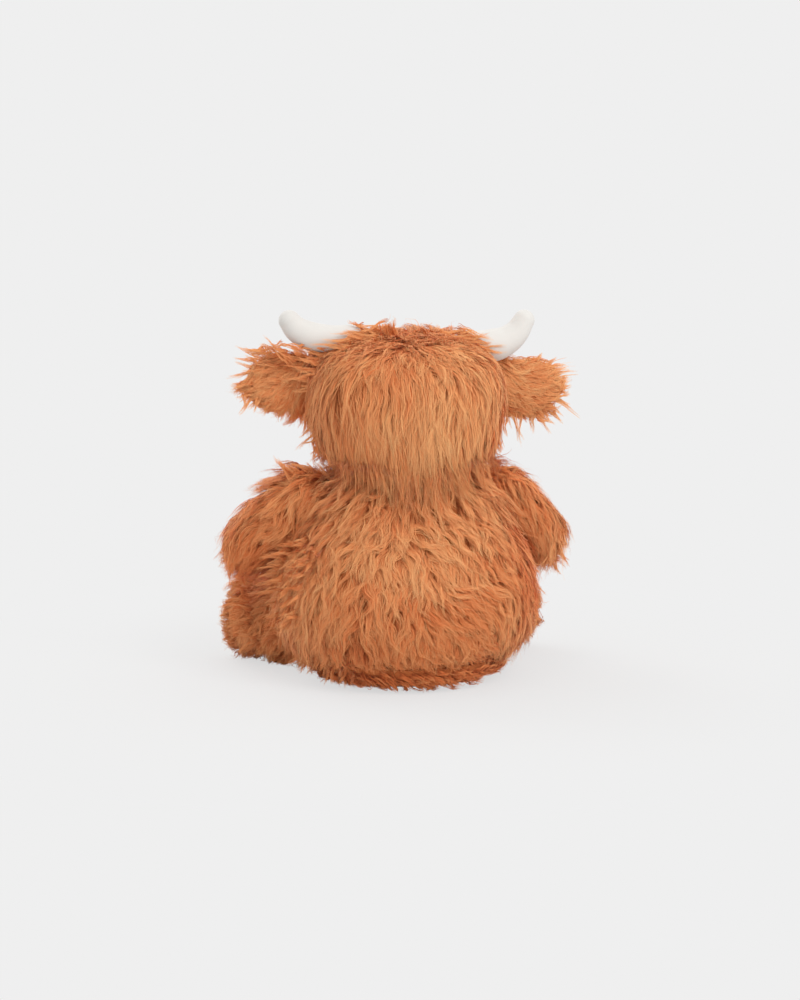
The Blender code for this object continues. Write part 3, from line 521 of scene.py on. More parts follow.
# How the fur is combed as seen from behind: across and up in millimetres, and which way it lies in degrees
COMBING = np.array([
    (-25, 315, 160), (-41, 315, -180), (-55, 308, -175), (-73, 303, -170), (-92, 301, -175),
    (-115, 296, -180),
    (-87, 290, -160), (-69, 292, -145), (-46, 296, -150), (-23, 299, -130), (-9, 303, -105), (-80, 273, -115),
    (-92, 280, -135), (-64, 276, -110), (-41, 276, -100), (-23, 280, -105), (-5, 280, -90), (-85, 246, -95),
    (-80, 221, -85), (-64, 246, -100), (-46, 246, -90), (-23, 246, -95), (0, 246, -85), (23, 246, -90),
    (46, 246, -95), (69, 246, -95), (83, 246, -95), (-64, 216, -80), (-41, 216, -85), (-18, 211, -80),
    (5, 211, -95), (28, 211, -85), (51, 211, -75), (74, 216, -75), (23, 315, -15), (37, 317, 0), (55, 315, 5),
    (60, 303, -15), (74, 296, -35), (83, 285, -65), (46, 294, -35), (23, 296, -40), (12, 296, -70),
    (35, 280, -75), (57, 280, -65), (74, 273, -85), (-103, 280, -175), (-126, 280, -175), (-138, 290, 160),
    (-138, 269, -175), (-115, 257, -150), (-133, 250, -140), (-96, 253, -110), (99, 280, 15), (115, 292, 30),
    (126, 280, 10), (115, 264, -5), (138, 262, -20), (103, 248, -55), (122, 246, -35), (97, 262, -20),
    (142, 273, 20), (-92, 193, -145), (-108, 198, -155), (-115, 184, -140), (-69, 188, -125),
    (-46, 191, -105),
    (-23, 191, -90), (0, 191, -90), (23, 191, -65), (46, 193, -30), (69, 191, -20), (92, 188, -30),
    (-133, 166, -135), (-149, 147, -125), (-156, 126, -125), (-126, 143, -120), (-138, 120, -135),
    (-108, 159, -140), (115, 168, -45), (133, 147, -55), (145, 124, -70), (115, 136, -50), (103, 152, -55),
    (138, 110, -75), (122, 117, -60), (-80, 170, -150), (-92, 154, -125), (-64, 166, -140), (-46, 170, -130),
    (-27, 175, -115), (-9, 179, -90), (5, 166, -95), (23, 172, -70), (41, 175, -45), (64, 172, -35),
    (83, 166, -55), (-41, 152, -145), (-23, 156, -125), (-5, 152, -120), (14, 154, -65), (32, 154, -55),
    (51, 154, -45), (69, 149, -65), (87, 143, -70), (-55, 133, -120), (-37, 136, -115), (-21, 137, -155),
    (-27, 122, -95), (-13, 106, -60), (2, 122, -85), (12, 133, -70), (30, 131, -60), (46, 129, -60),
    (64, 124, -70), (83, 120, -85), (-69, 129, -120), (-85, 129, -135), (-96, 136, -145), (-106, 129, -165),
    (-115, 120, -155), (-103, 108, -155), (-126, 99, -160), (-142, 94, -155), (-87, 108, -120),
    (-64, 106, -100),
    (-46, 110, -100), (-27, 101, -85), (5, 106, -70), (23, 110, -75), (28, 92, -60), (41, 81, -20),
    (60, 83, 5),
    (76, 90, 20), (55, 101, -55), (87, 101, -60), (99, 90, -75), (-154, 78, -140), (-138, 76, -150),
    (-119, 83, -155), (-96, 85, -145), (-73, 85, -120), (-50, 87, -110), (-32, 83, -90), (-18, 78, -80),
    (-142, 55, -125), (-124, 60, -120), (-103, 64, -135), (-83, 62, -125), (-60, 64, -125), (-37, 64, -100),
    (-14, 55, -85), (0, 64, -100), (16, 74, -85), (23, 55, -60), (41, 60, -45), (60, 64, -35), (78, 67, -60),
    (97, 69, -85), (113, 74, -95), (-115, 39, -115), (-92, 37, -125), (-69, 37, -135), (-46, 39, -125),
    (-23, 37, -90), (-5, 35, -90), (14, 35, -80), (35, 35, -70), (57, 37, -65), (78, 42, -70), (99, 46, -90),
    (-69, 19, -25), (-41, 16, -10), (-14, 14, -10), (14, 16, 5), (41, 19, -5), (69, 23, 15),
], float)
CAMERA_RIGHT, CAMERA_UP, TO_CAMERA = np.array([-0.974, 0.225, 0]), np.array([-0.031, -0.136,
        0.990]), np.array([0.223, 0.965, 0.139])


def seen(p):
    """Across and up in millimetres, as seen from behind."""
    return np.stack([-974 * p[:, 0] + 225 * p[:, 1] + 0.9, 990 * p[:, 2] - 136 * p[:, 1] - 31 * p[:, 0] +
                     11], 1)


def combed(p, n, base, reach=10.0):
    """The combing near each point where it shows from behind, and the base direction elsewhere."""
    apart = ((seen(p)[:, None] - COMBING[None, :, :2]) ** 2).sum(-1)
    w = np.exp(-apart / (2 * reach ** 2))
    angles = np.radians(COMBING[:, 2])
    flat = np.stack([w @ np.cos(angles), w @ np.sin(angles)], 1)
    sure = 1 - np.exp(-1.5 * w.sum(1))
    flat = unit(flat)
    d = flat[:, :1] * CAMERA_RIGHT + flat[:, 1:] * CAMERA_UP
    k = (sure * smoothstep(-0.05, 0.4, n @ TO_CAMERA))[:, None]
    return tangent(unit(base) * (1 - k) + d * k + n * 1e-4, n)


# Places that are darker or paler from behind, partly the hair's own tone and partly painted light and shade:
# painted shade in the crevices by the arms, under the head and low down, painted light where the key light
# falls; across, up, radius in millimetres, and how much
PAINTED_LIGHT_AND_TONES = np.array([
    (35, 262, 32, 0.24), (10, 235, 30, 0.08), (-82, 250, 16, -0.16), (84, 262, 7, -0.25),
    (-20, 322, 12, -0.22),
    (5, 296, 12, -0.18), (-130, 262, 14, -0.08), (135, 262, 16, 0.10), (-130, 108, 12, -0.55),
    (102, 108, 9, -0.5),
    (52, 78, 11, -0.22), (38, 84, 8, -0.15), (-60, 150, 20, -0.06), (20, 130, 26, 0.10), (-40, 118, 24, 0.08),
    (95, 55, 14, 0.14), (-110, 60, 24, -0.12), (-150, 75, 14, -0.25), (0, 22, 60, -0.20),
    (-20, 140, 16, 0.06),
    (90, 150, 22, -0.08), (130, 150, 14, 0.10), (-70, 52, 18, 0.10), (10, 45, 12, 0.06),
    (98, 150, 9, -0.22), (101, 130, 9, -0.30), (104, 116, 8, -0.30), (-130, 135, 15, -0.20),
    (-114, 142, 11, -0.20),
    (-65, 197, 13, -0.12), (-140, 114, 13, -0.22), (-116, 112, 11, -0.30), (-104, 95, 15, 0.14),
    (62, 196, 12, -0.10), (-88, 262, 9, -0.15), (88, 240, 8, -0.20)])


# Adds the spots of painted light and shade, and of tone, to a hair tone, on the back only
def tone_and_painted_light(p, level):
    apart = ((seen(p)[:, None] - PAINTED_LIGHT_AND_TONES[None, :, :2]) ** 2).sum(-1)
    return level + np.exp(-apart / (2 * PAINTED_LIGHT_AND_TONES[:, 2] ** 2)) @ PAINTED_LIGHT_AND_TONES[:, 3] * smoothstep(-0.02, 0.02, p[:, 1] +
            0.06)


# Body

body_skin = Skin(*grid(body_rings(INSET, 0.10, 1.0)))
stuffed("body_skin", body_skin, SKIN, "torso",
        ("body_back_left_panel", "body_back_right_panel", "body_front_panel", "body_fill"))
base_skin = Skin(*grid(body_rings(0.0035, 0.0, 0.098, 14)))
new_piece("base_skin", raw_mesh("base_skin", base_skin.co, base_skin.tri), SKIN, "torso",
          ("base_panel", "pellet_bag"))


def clear_of_limbs(p, grow_by=0.0):
    ok = np.ones(len(p), bool)
    for s in (1, -1):
        ok &= ~inside_limb(p, *ARMS[s], ARM_L, ARM_R * 0.9 + grow_by)
        ok &= ~inside_limb(p, *LEGS[s], LEG_L, LEG_R * 0.9 + grow_by)
    return ok


def body_flow(p, n):
    """Down and outwards, with whorls; from behind as combed."""
    x, y, z = p.T
    d = np.stack([x * 5.5, y * 2.0, -np.ones(len(p))], 1)
    top = smoothstep(0.150, 0.185, z)[:, None]
    d = d * (1 - top) + np.stack([x * 22, y * 14, -np.full(len(p), 0.7)], 1) * top
    d = turn(tangent(d, n), n, 0.7 * swirl(p, 0.075, 5))
    return turn(combed(p, n, d), n, 0.30 * swirl(p, 0.030, 6))


# Hair tone of the body: random, darker towards the bottom, partly painted shade and partly darker hair, with
# the painted light and shade spots
def body_shade(p):
    return tone_and_painted_light(p, 0.50 + 0.08 * swirl(p, 0.05, 11) - 0.10 * smoothstep(0.08, 0.03, p[:, 2]))


def over_shoulders(lines):
    """Locks of the head that reach the back slide over the fur of the shoulders."""
    nudge = 0.0005
    out = lines.copy()
    for k in range(1, lines.shape[1]):
        step = lines[:, k] - lines[:, k - 1]
        size = np.linalg.norm(step, axis=1, keepdims=True)
        hang = smoothstep(0.230, 0.214, out[:, k - 1, 2]) * smoothstep(0.015, 0.040, out[:, k - 1, 1])
        plumb = np.stack([step[:, 0] * 0.5, 0.15 * size[:, 0], -size[:, 0]], 1)
        q = out[:, k - 1] + unit(step + (plumb - step) * hang[:, None]) * size
        for _ in range(2):
            slope = np.stack([body_level(q + e, 0) - body_level(q - e, 0) for e in np.eye(3) * nudge],
                             1) / (2 * nudge)
            steep = np.maximum(np.linalg.norm(slope, axis=1), 0.5)
            gap = SHOULDER_PILE + SHOULDER_FLUFF * smoothstep(0.015, 0.045, np.abs(q[:, 0]))
            short = np.clip(gap - body_level(q, 0) / steep, 0, 0.008) * (q[:, 1] > 0.01)
            q = q + slope / steep[:, None] * short[:, None]
        out[:, k] = out[:, k - 1] + unit(q - out[:, k - 1]) * size
    return out


def furnish(name, skin, keep, flow, density, length, rise, body, seed, shade, cap=180000, spread=0.0026,
            width=0.00062, lay=None, **more):
    """One piece of fur: roots, locks and strands."""
    grown = {k: more.pop(k) for k in ("wave", "wave_len", "droop", "steps", "stray", "cling",
            "sag") if k in more}
    roots, normals = skin.sample(density, keep, seed)
    size = length(roots) if callable(length) else length
    up = rise(roots) if callable(rise) else rise
    if callable(grown.get("cling")):
        grown["cling"] = grown["cling"](roots)
    lines, norms = grow(skin, roots, normals, flow, size, up, seed + 1, **grown)
    if lay:
        lines = lay(lines)
    tone = shade(roots) + np.random.default_rng(seed + 2).normal(0, 0.09, len(roots))
    me = strands(name, lines, norms, cap, spread, width, tone, seed + 3, **more)
    print(name, "locks", len(roots), "quads", len(me.polygons))
    return new_piece(name, me, FUR, body)


LOCKS = 20000  # to a square metre
SHOULDER_PILE, SHOULDER_FLUFF = 0.0095, 0.0055
SHAGGY = dict(spread=0.0030, width=HAIR, subs=6, clump=0.50, gather=0.6, ragged=0.62, frizz=0.0010)
SLEEK = dict(spread=0.0028, width=HAIR, subs=6, clump=0.50, gather=0.65, ragged=0.66, frizz=0.0009)
upper = lambda p: p[:, 2] > 0.0225


def even(value):
    """The same value at every root."""
    return lambda p: np.full(len(p), value)


def flank(p):
    return smoothstep(0.066, 0.098, np.abs(p[:, 0])) * smoothstep(0.16, 0.14, p[:, 2])


def body_rise(p):
    """How far the tips stand off: more on the shoulders and at the flanks."""
    top = smoothstep(0.155, 0.180, p[:, 2]) * (0.12 + 0.88 * smoothstep(0.015, 0.045, np.abs(p[:, 0])))
    return 0.0080 + 0.0100 * top + 0.0035 * flank(p) - 0.003 * smoothstep(0.050, 0.034, p[:, 2])


def body_length(p):
    """Longest at the flanks, shorter at the seat and on the right shoulder."""
    right_shoulder = smoothstep(0.160, 0.178, p[:, 2]) * smoothstep(-0.045, -0.068, p[:, 0])
    return 0.017 + 0.023 * smoothstep(0.034, 0.064, p[:, 2]) + 0.007 * flank(p) - 0.015 * right_shoulder


def body_hold(p):
    """Fur at the flanks and on the shoulders stands off more freely."""
    return 0.85 - 0.55 * flank(p) - 0.50 * smoothstep(0.160, 0.185, p[:, 2])


for word, sign, seed in (("left", 1, 100), ("right", -1, 110)):
    for part, low, high in (("low", 0.0, 0.104), ("high", 0.104, 1.0)):
        keep = lambda p, n: (p[:, 1] > -0.005) & (p[:, 0] *
                sign >= 0) & (p[:, 2] >= low) & (p[:, 2] < high) & (p[:, 2] > 0.032) & clear_of_limbs(p)
        furnish("body_back_%s_%s_fur" % (word, part), body_skin, keep, body_flow, LOCKS * 1.25, body_length,
                body_rise, "torso",
                seed + (part == "low") * 5, body_shade, cap=188000, wave=0.55, wave_len=0.026, stray=0.22,
                droop=0.08, cling=body_hold, **SHAGGY)
for word, sign, seed in (("left", 1, 120), ("right", -1, 125)):
    keep = lambda p, n: (p[:, 1] <= -0.005) & (p[:, 0] * sign >= -0.001) & upper(p) & clear_of_limbs(p)
    furnish("body_front_%s_fur" % word, body_skin, keep, body_flow, LOCKS * 1.35, 0.034, body_rise, "torso",
            seed, body_shade,
            cap=188000, wave=0.5, stray=0.22, cling=body_hold, **SHAGGY)
base_flow = lambda p, n: combed(p, n, turn(tangent(np.stack([p[:, 0] * 9, p[:, 1] * 2,
        -np.full(len(p), 0.35)], 1), n), n, 0.9 * swirl(p, 0.04, 17)))
# The base band: a dark hair tone, partly darker fur and partly painted shade low down by the floor
furnish("base_fur", base_skin, lambda p, n: (n[:, 2] > -0.8) & (p[:, 2] > 0.0005) & (p[:, 2] < 0.0185) &
        clear_of_limbs(p),
        base_flow, 60000, 0.016, 0.0045, "torso", 130, even(0.04), cap=110000, spread=0.0018, droop=0.0,
        wave=0.5, cling=1.0)
# The crease above the base: a very dark hair tone, painted shade in the crease
furnish("seam_fur", body_skin, lambda p, n: (p[:, 2] > 0.0205) & (p[:, 2] < 0.033) & clear_of_limbs(p),
        base_flow, 52000, 0.013, 0.0035, "torso", 135, even(0.03), cap=60000, spread=0.0016, droop=0.0,
        wave=0.5, cling=1.0)

# Head

head_skin = Skin(*grid(head_rings(INSET)))
stuffed("head_skin", head_skin, SKIN, "head",
        ("head_back_panel", "head_face_panel", "head_fill", "fringe"))
neck_centres = [(0, 0, z) for z in np.linspace(0.180, 0.215, 8)]
neck = Skin(*grid(tube_rings(neck_centres, [0.046] * len(neck_centres), (1, 0, 0), (0, 1, 0))))
new_piece("neck_skin", raw_mesh("neck_skin", neck.co, neck.tri), SKIN, "neck", ("neck_fill",))


def neck_flow(p, n):
    return tangent(np.stack([p[:, 0] * 3, p[:, 1] * 3, -np.ones(len(p))], 1), n)


def head_flow(p, n):
    x, y, z = p.T
    behind = smoothstep(-0.01, 0.03, y)
    fall = np.stack([x * 1.2, 0.10 * behind, -np.ones(len(p))], 1)
    side = np.tanh((x + 0.004) / 0.018)
    over = np.stack([side * 1.1, 0.25 * behind, -0.25 - 0.3 * np.abs(x) / HEAD_W], 1)
    w = smoothstep(0.277, 0.295, z)[:, None]
    d = tangent(fall * (1 - w) + over * w, n)
    return turn(combed(p, n, d), n, (0.10 + 0.22 * w[:, 0]) * swirl(p, 0.035, 21))


# Hair tone of the head: random, darker at the nape under the head as painted shade, with the painted light
# and shade spots
def head_shade(p):
    return tone_and_painted_light(p, 0.50 + 0.08 * swirl(p, 0.04, 31) - 0.16 * smoothstep(0.234, 0.214, p[:, 2]))


def clear_of_face(p):
    muzzle = (p[:, 0] / 0.0405) ** 2 + ((p[:, 2] - 0.2298) / 0.0240) ** 2 < 1
    ok = ~(muzzle & (p[:, 1] < 0))
    for s in (1, -1):
        away = np.hypot(p[:, 0] - s * 0.038, p[:, 2] - 0.2684)
        ok &= ~((away < 0.0085) & (p[:, 1] < 0))
    return ok


def off_ear(p):
    ok = np.ones(len(p), bool)
    for s in (1, -1):
        ok &= ~((s * p[:, 0] > 0.07) & (np.abs(p[:, 1] + 0.015) < 0.006) & (np.abs(p[:, 2] - 0.2631) < 0.016))
    return ok


def head_hold(p):
    """The lowest fur hangs straight over the neck, and on the left side it sweeps on over the ear."""
    sweep = smoothstep(0.050, 0.066, p[:, 0]) * smoothstep(0.238, 0.256, p[:, 2])
    return 0.60 - 0.50 * np.maximum(smoothstep(0.236, 0.214, p[:, 2]), sweep)


for word, sign, seed in (("left", 1, 208), ("right", -1, 212)):
    keep = lambda p, n: (p[:, 1] > -0.004) & (p[:, 0] *
            sign >= -0.004) & (p[:, 2] > 0.2025) & (p[:, 2] < 0.290) & off_ear(p)
    furnish("head_back_%s_fur" % word, head_skin, keep, head_flow, LOCKS * 1.35,
            lambda p: 0.040 + (0.004 + 0.014 * smoothstep(0.055, 0.015, np.abs(p[:, 0]))) *
            smoothstep(0.240, 0.210, p[:, 2]),
            lambda p: 0.0068 + 0.006 * smoothstep(0.240, 0.215, p[:, 2]), "head", seed, head_shade,
            cap=188000,
            wave=0.26, wave_len=0.032, stray=0.11, cling=head_hold, sag=0.7, steps=9, lay=over_shoulders,
            **SLEEK)
furnish("crown_fur", head_skin, lambda p, n: (p[:, 1] > -0.030) & (p[:, 2] >= 0.284),
        head_flow, LOCKS * 1.5, 0.032, 0.0045, "head", 220, head_shade, cap=188000, wave=0.5, stray=0.28,
        cling=0.9, **SHAGGY)


def parting_flow(p, n):
    """Over the parting the hair falls straight back."""
    d = np.stack([0.9 * swirl(p, 0.020, 24), np.full(len(p), 0.9), np.full(len(p), -0.45)], 1)
    return tangent(d, n)


furnish("parting_fur", head_skin, lambda p, n: (np.abs(p[:, 0] + 0.004) < 0.026) & (p[:, 1] > -0.030) &
        (p[:, 1] < 0.030) & (p[:, 2] > 0.284),
        parting_flow, LOCKS * 2.2, 0.026, 0.0068, "head", 226, even(0.44), cap=90000, wave=0.45, stray=0.45,
        cling=0.75, sag=0.3, **SHAGGY)


def tuft(name, skin, keep, count, length, lean, body, seed, tone, cap=30000):
    """A few locks that stand up from the skin."""
    r = np.random.default_rng(seed)
    roots, normals = skin.sample(4e5, keep, seed)
    roots, normals = roots[:count], normals[:count]
    way = unit(normals + np.array(lean) + r.normal(0, 0.26, roots.shape))
    size = length * r.uniform(0.6, 1.25, (len(roots), 1))
    side = unit(np.cross(way, r.normal(size=roots.shape)))
    t = np.linspace(0, 1, 7)[None, :, None]
    bow = 0.16 * np.sin(2.2 * t + r.uniform(0, 2, (len(roots), 1, 1))) * t
    lines = roots[:, None] + (way[:, None] * t + side[:, None] * bow) * size[:, None]
    norms = np.repeat(unit(np.cross(side, way))[:, None], 7, axis=1)
    lines[..., 2] = np.maximum(lines[..., 2], FLOOR_GAP)
    tones = tone + r.normal(0, 0.06, len(roots))
    me = strands(name, lines, norms, cap, 0.0024, HAIR, tones, seed, subs=3, clump=0.7, gather=0.7)
    return new_piece(name, me, FUR, body)


tuft("crown_tuft", head_skin, lambda p, n: (np.abs(p[:, 0] - 0.021) < 0.010) &
     (np.abs(p[:, 1] - 0.010) < 0.012) & (p[:, 2] > 0.29),
     7, 0.0190, (0.10, 0.10, 0.45), "head", 263, 0.40, cap=5000)
tuft("crown_wisps", head_skin, lambda p, n: (np.abs(p[:, 0]) < 0.055) & (np.abs(p[:, 1] - 0.005) < 0.020) &
     (p[:, 2] > 0.29),
     40, 0.0080, (-0.2, 0.4, 0.1), "head", 270, 0.40, cap=18000)


furnish("neck_fur", neck, lambda p, n: (p[:, 2] > 0.186) & (p[:, 2] < 0.212) & (p[:, 1] < 0.02), neck_flow,
        LOCKS * 2.2, 0.024, 0.0100, "neck", 225,
        even(0.42), cap=80000, wave=0.4, cling=0.25, **SHAGGY)


def face_flow(p, n):
    x, y, z = p.T
    away = np.stack([x, np.zeros(len(p)), z - 0.245], 1)
    d = unit(away) * 0.9 + np.array([0, 0, -0.55])
    return turn(tangent(d, n), n, 0.3 * swirl(p, 0.03, 41))


furnish("face_fur", head_skin, lambda p, n: (p[:, 1] <= -0.004) & (p[:, 2] > 0.2005) & (p[:, 2] < 0.300) &
        clear_of_face(p) & off_ear(p),
        face_flow, LOCKS * 4.4, lambda p: 0.013 + 0.015 * smoothstep(0.045, 0.08, np.abs(p[:, 0])), 0.0055,
        "head", 230,
        lambda p: 0.55 + 0.08 * swirl(p, 0.03, 43), cap=192000, spread=0.0021, subs=2, wave=0.3,
        cling=lambda p: 0.8 - 0.6 * smoothstep(0.214, 0.204, p[:, 2]))


furnish("chin_fur", head_skin, lambda p, n: (p[:, 1] < -0.020) & (p[:, 2] < 0.2075) & (n[:, 2] < 0.2),
        face_flow, LOCKS * 2.6, 0.026, 0.0060, "head", 236,
        even(0.50), cap=60000, wave=0.4, cling=0.1, **SHAGGY)


def fringe_flow(p, n):
    x, y, z = p.T
    d = np.stack([x * 5.0, -1.6 * smoothstep(0.285, 0.31, z), -np.ones(len(p))], 1)
    return turn(tangent(d, n), n, 0.28 * swirl(p, 0.04, 51))


furnish("fringe_fur", head_skin, lambda p, n: (p[:, 1] < 0.008) & (p[:, 2] > 0.291) &
        (np.abs(p[:, 0]) < 0.068),
        fringe_flow, LOCKS * 1.7, lambda p: 0.042 + 0.018 * smoothstep(0.035, 0.0, np.abs(p[:, 0])), 0.0120,
        "head", 240,
        lambda p: 0.55 + 0.10 * swirl(p, 0.03, 53), cap=188000, wave=0.35, droop=0.35, **SLEEK)

# Arms and legs

def arm_rise(p, root, d):
    """The fur stands higher over the shoulder, and most over the left one."""
    along, above = (p - root) @ d, (p - root) @ limb_axes(d)[1]
    fluff = 0.0085 if root[0] > 0 else 0.0015
    return 0.0078 + fluff * smoothstep(0.004, 0.020, np.abs(above)) * smoothstep(0.045, 0.010,
            along) * (p[:, 2] > root[2] - 0.01)


for s in (1, -1):
    word = WORD[s]
    root, d = ARMS[s]
    skin = Skin(*limb_skin(root, d, ARM_R, ARM_L, ARM_END, ARM_SHARES, INSET))
    stuffed(word + "_arm_skin", skin, SKIN, word + "_arm",
            (word + "_arm_cover", word + "_arm_fill"))
    arm_flow = lambda p, n: turn(combed(p, n, tangent(d + np.array([0, 0, -0.35]) + 0 * p, n)), n, 0.30 *
            swirl(p, 0.03, 61))
    furnish(word + "_arm_fur", skin, lambda p, n: body_level(p, INSET) > 0.002, arm_flow, LOCKS * 1.35,
            0.036, lambda p: arm_rise(p, root, d),
            word + "_arm", 300 + 10 * s, lambda p: tone_and_painted_light(p, 0.42 + 0.08 * swirl(p, 0.04, 63)), cap=188000,
            **SHAGGY,
            wave=0.4, cling=lambda p: 0.62 - 0.50 * smoothstep(0.030, 0.075, (p - root) @ d), sag=0.25)

    root, d = LEGS[s]
    skin = Skin(*limb_skin(root, d, LEG_R, LEG_L, LEG_END, LEG_SHARES, INSET))
    skin.co[:, 2] = np.maximum(skin.co[:, 2], 0.0035)
    stuffed(word + "_leg_skin", skin, SKIN, word + "_leg",
            (word + "_leg_cover", word + "_leg_fill"))
    leg_flow = lambda p, n: turn(tangent(d * 0.8 + np.array([0, 0, -0.6]) + np.zeros((len(p), 3)), n), n,
            0.4 * swirl(p, 0.05, 71))
    seam = LEG_L + LEG_END - 0.013
    furnish(word + "_leg_fur", skin,
            lambda p, n: (body_level(p, INSET) > 0.002) & ((p - root) @ d < seam - 0.002) &
            (p[:, 2] > 0.0055),
            leg_flow, LOCKS * 1.25, lambda p: 0.014 + 0.018 * smoothstep(0.018, 0.045, p[:, 2]),
            lambda p: 0.0072 + 0.006 * smoothstep(0.055, 0.075, p[:, 2]),
            word + "_leg", 400 + 10 * s, lambda p: tone_and_painted_light(p, 0.42 + 0.08 * swirl(p, 0.04, 73)), cap=188000,
            **SHAGGY, wave=0.45,
            droop=0.0, cling=0.7)

    furnish(word + "_sole_rim_fur", skin, lambda p, n: (np.abs((p - root) @ d - seam + 0.004) < 0.0040) &
            (p[:, 2] > 0.008),
            lambda p, n: tangent(d + np.zeros((len(p), 3)), n), LOCKS * 2.2, 0.0095, 0.0085, word + "_leg",
            430 + 10 * s,
            even(0.44), cap=50000, **SHAGGY, wave=0.4, droop=0.1, cling=0.55, sag=0.1)

# Ears

EAR_ROWS = np.array([(0.0, 0.89, 1.0), (0.20, 0.96, 0.98), (0.45, 1.0, 1.0), (0.68, 0.97, 0.96),
                     (0.86, 0.80, 0.82), (0.96, 0.48, 0.56), (1.0, 0.1, 0.2)])


def ear_rings(root, out, up, start, end, hw, ht, shift=0.0, lining=False):
    """Flat rings along an ear, from start to end along its length in metres."""
    a = np.linspace(0, 2 * math.pi, 48, endpoint=False)
    rings = []
    for t in 0.5 - 0.5 * np.cos(math.pi * np.linspace(0.0 if not lining else 0.06, 0.97, 26)):
        share = max(1 - abs(2 * t - 1) ** 2.5, 0) ** (1 / 2.3) if lining else (1 - t ** 3.2) ** (1 / 2.3)
        c = root + out * (start + (end - start) * t) + np.array([0, shift, 0])
        rings.append(c + np.cos(a)[:, None] * up * hw * share + np.sin(a)[:, None] * np.array([0, 1.0, 0]) *
                     ht * min(1.0, share + 0.1))
    return np.array(rings)


for s in (1, -1):
    word = WORD[s]
    tilt = math.radians(-4.5 if s > 0 else 8.5)
    out = np.array([s * math.cos(tilt), 0, -math.sin(tilt)])
    up = np.array([s * math.sin(tilt), 0, math.cos(tilt)])
    root = np.array([s * 0.0922, -0.015, 0.2656 if s > 0 else 0.2610])
    reach = 0.040 if s > 0 else 0.049
    skin = Skin(*grid(ear_rings(root, out, up, -0.009, reach, 0.0215, 0.0040)))
    stuffed(word + "_ear_skin", skin, SKIN, word + "_ear", (word + "_ear_back",))
    front = Skin(*grid(ear_rings(root, out, up, -0.004, reach - 0.001, 0.0180, 0.0026, -0.0030, True)))
    stuffed(word + "_ear_lining_pad", front, LINING, word + "_ear", (word + "_ear_lining",))

    def ear_flow(p, n):
        v = (p - root) @ up
        d = out[None] + np.outer(v * 9, up)
        return turn(combed(p, n, tangent(d, n), 12.0), n, 0.16 * swirl(p, 0.03, 81))

    furnish(word + "_ear_fur", skin, lambda p, n: n[:, 1] > -0.30, ear_flow, LOCKS * 2.6, 0.030, 0.0052,
            word + "_ear", 500 + 10 * s,
            lambda p: tone_and_painted_light(p, 0.54 + 0.08 * swirl(p, 0.03, 83)), cap=150000, wave=0.25, droop=0.0,
            cling=0.45, sag=0.12, stray=0.14, **SLEEK)
    edge = lambda p, n: (n[:, 1] <= -0.30) & (
        (np.abs((p - root) @ up) > 0.0145) | ((p - root) @ out > reach - 0.006) | ((p - root) @ out < 0.0))
    furnish(word + "_ear_front_fur", skin, edge, ear_flow, LOCKS * 4.0, 0.016, 0.0040, word + "_ear", 520 +
            10 * s,
            lambda p: 0.72 + 0.06 * swirl(p, 0.03, 85), cap=50000, spread=0.0016, subs=2, wave=0.25,
            droop=0.0, sag=0.12)

# Wisps

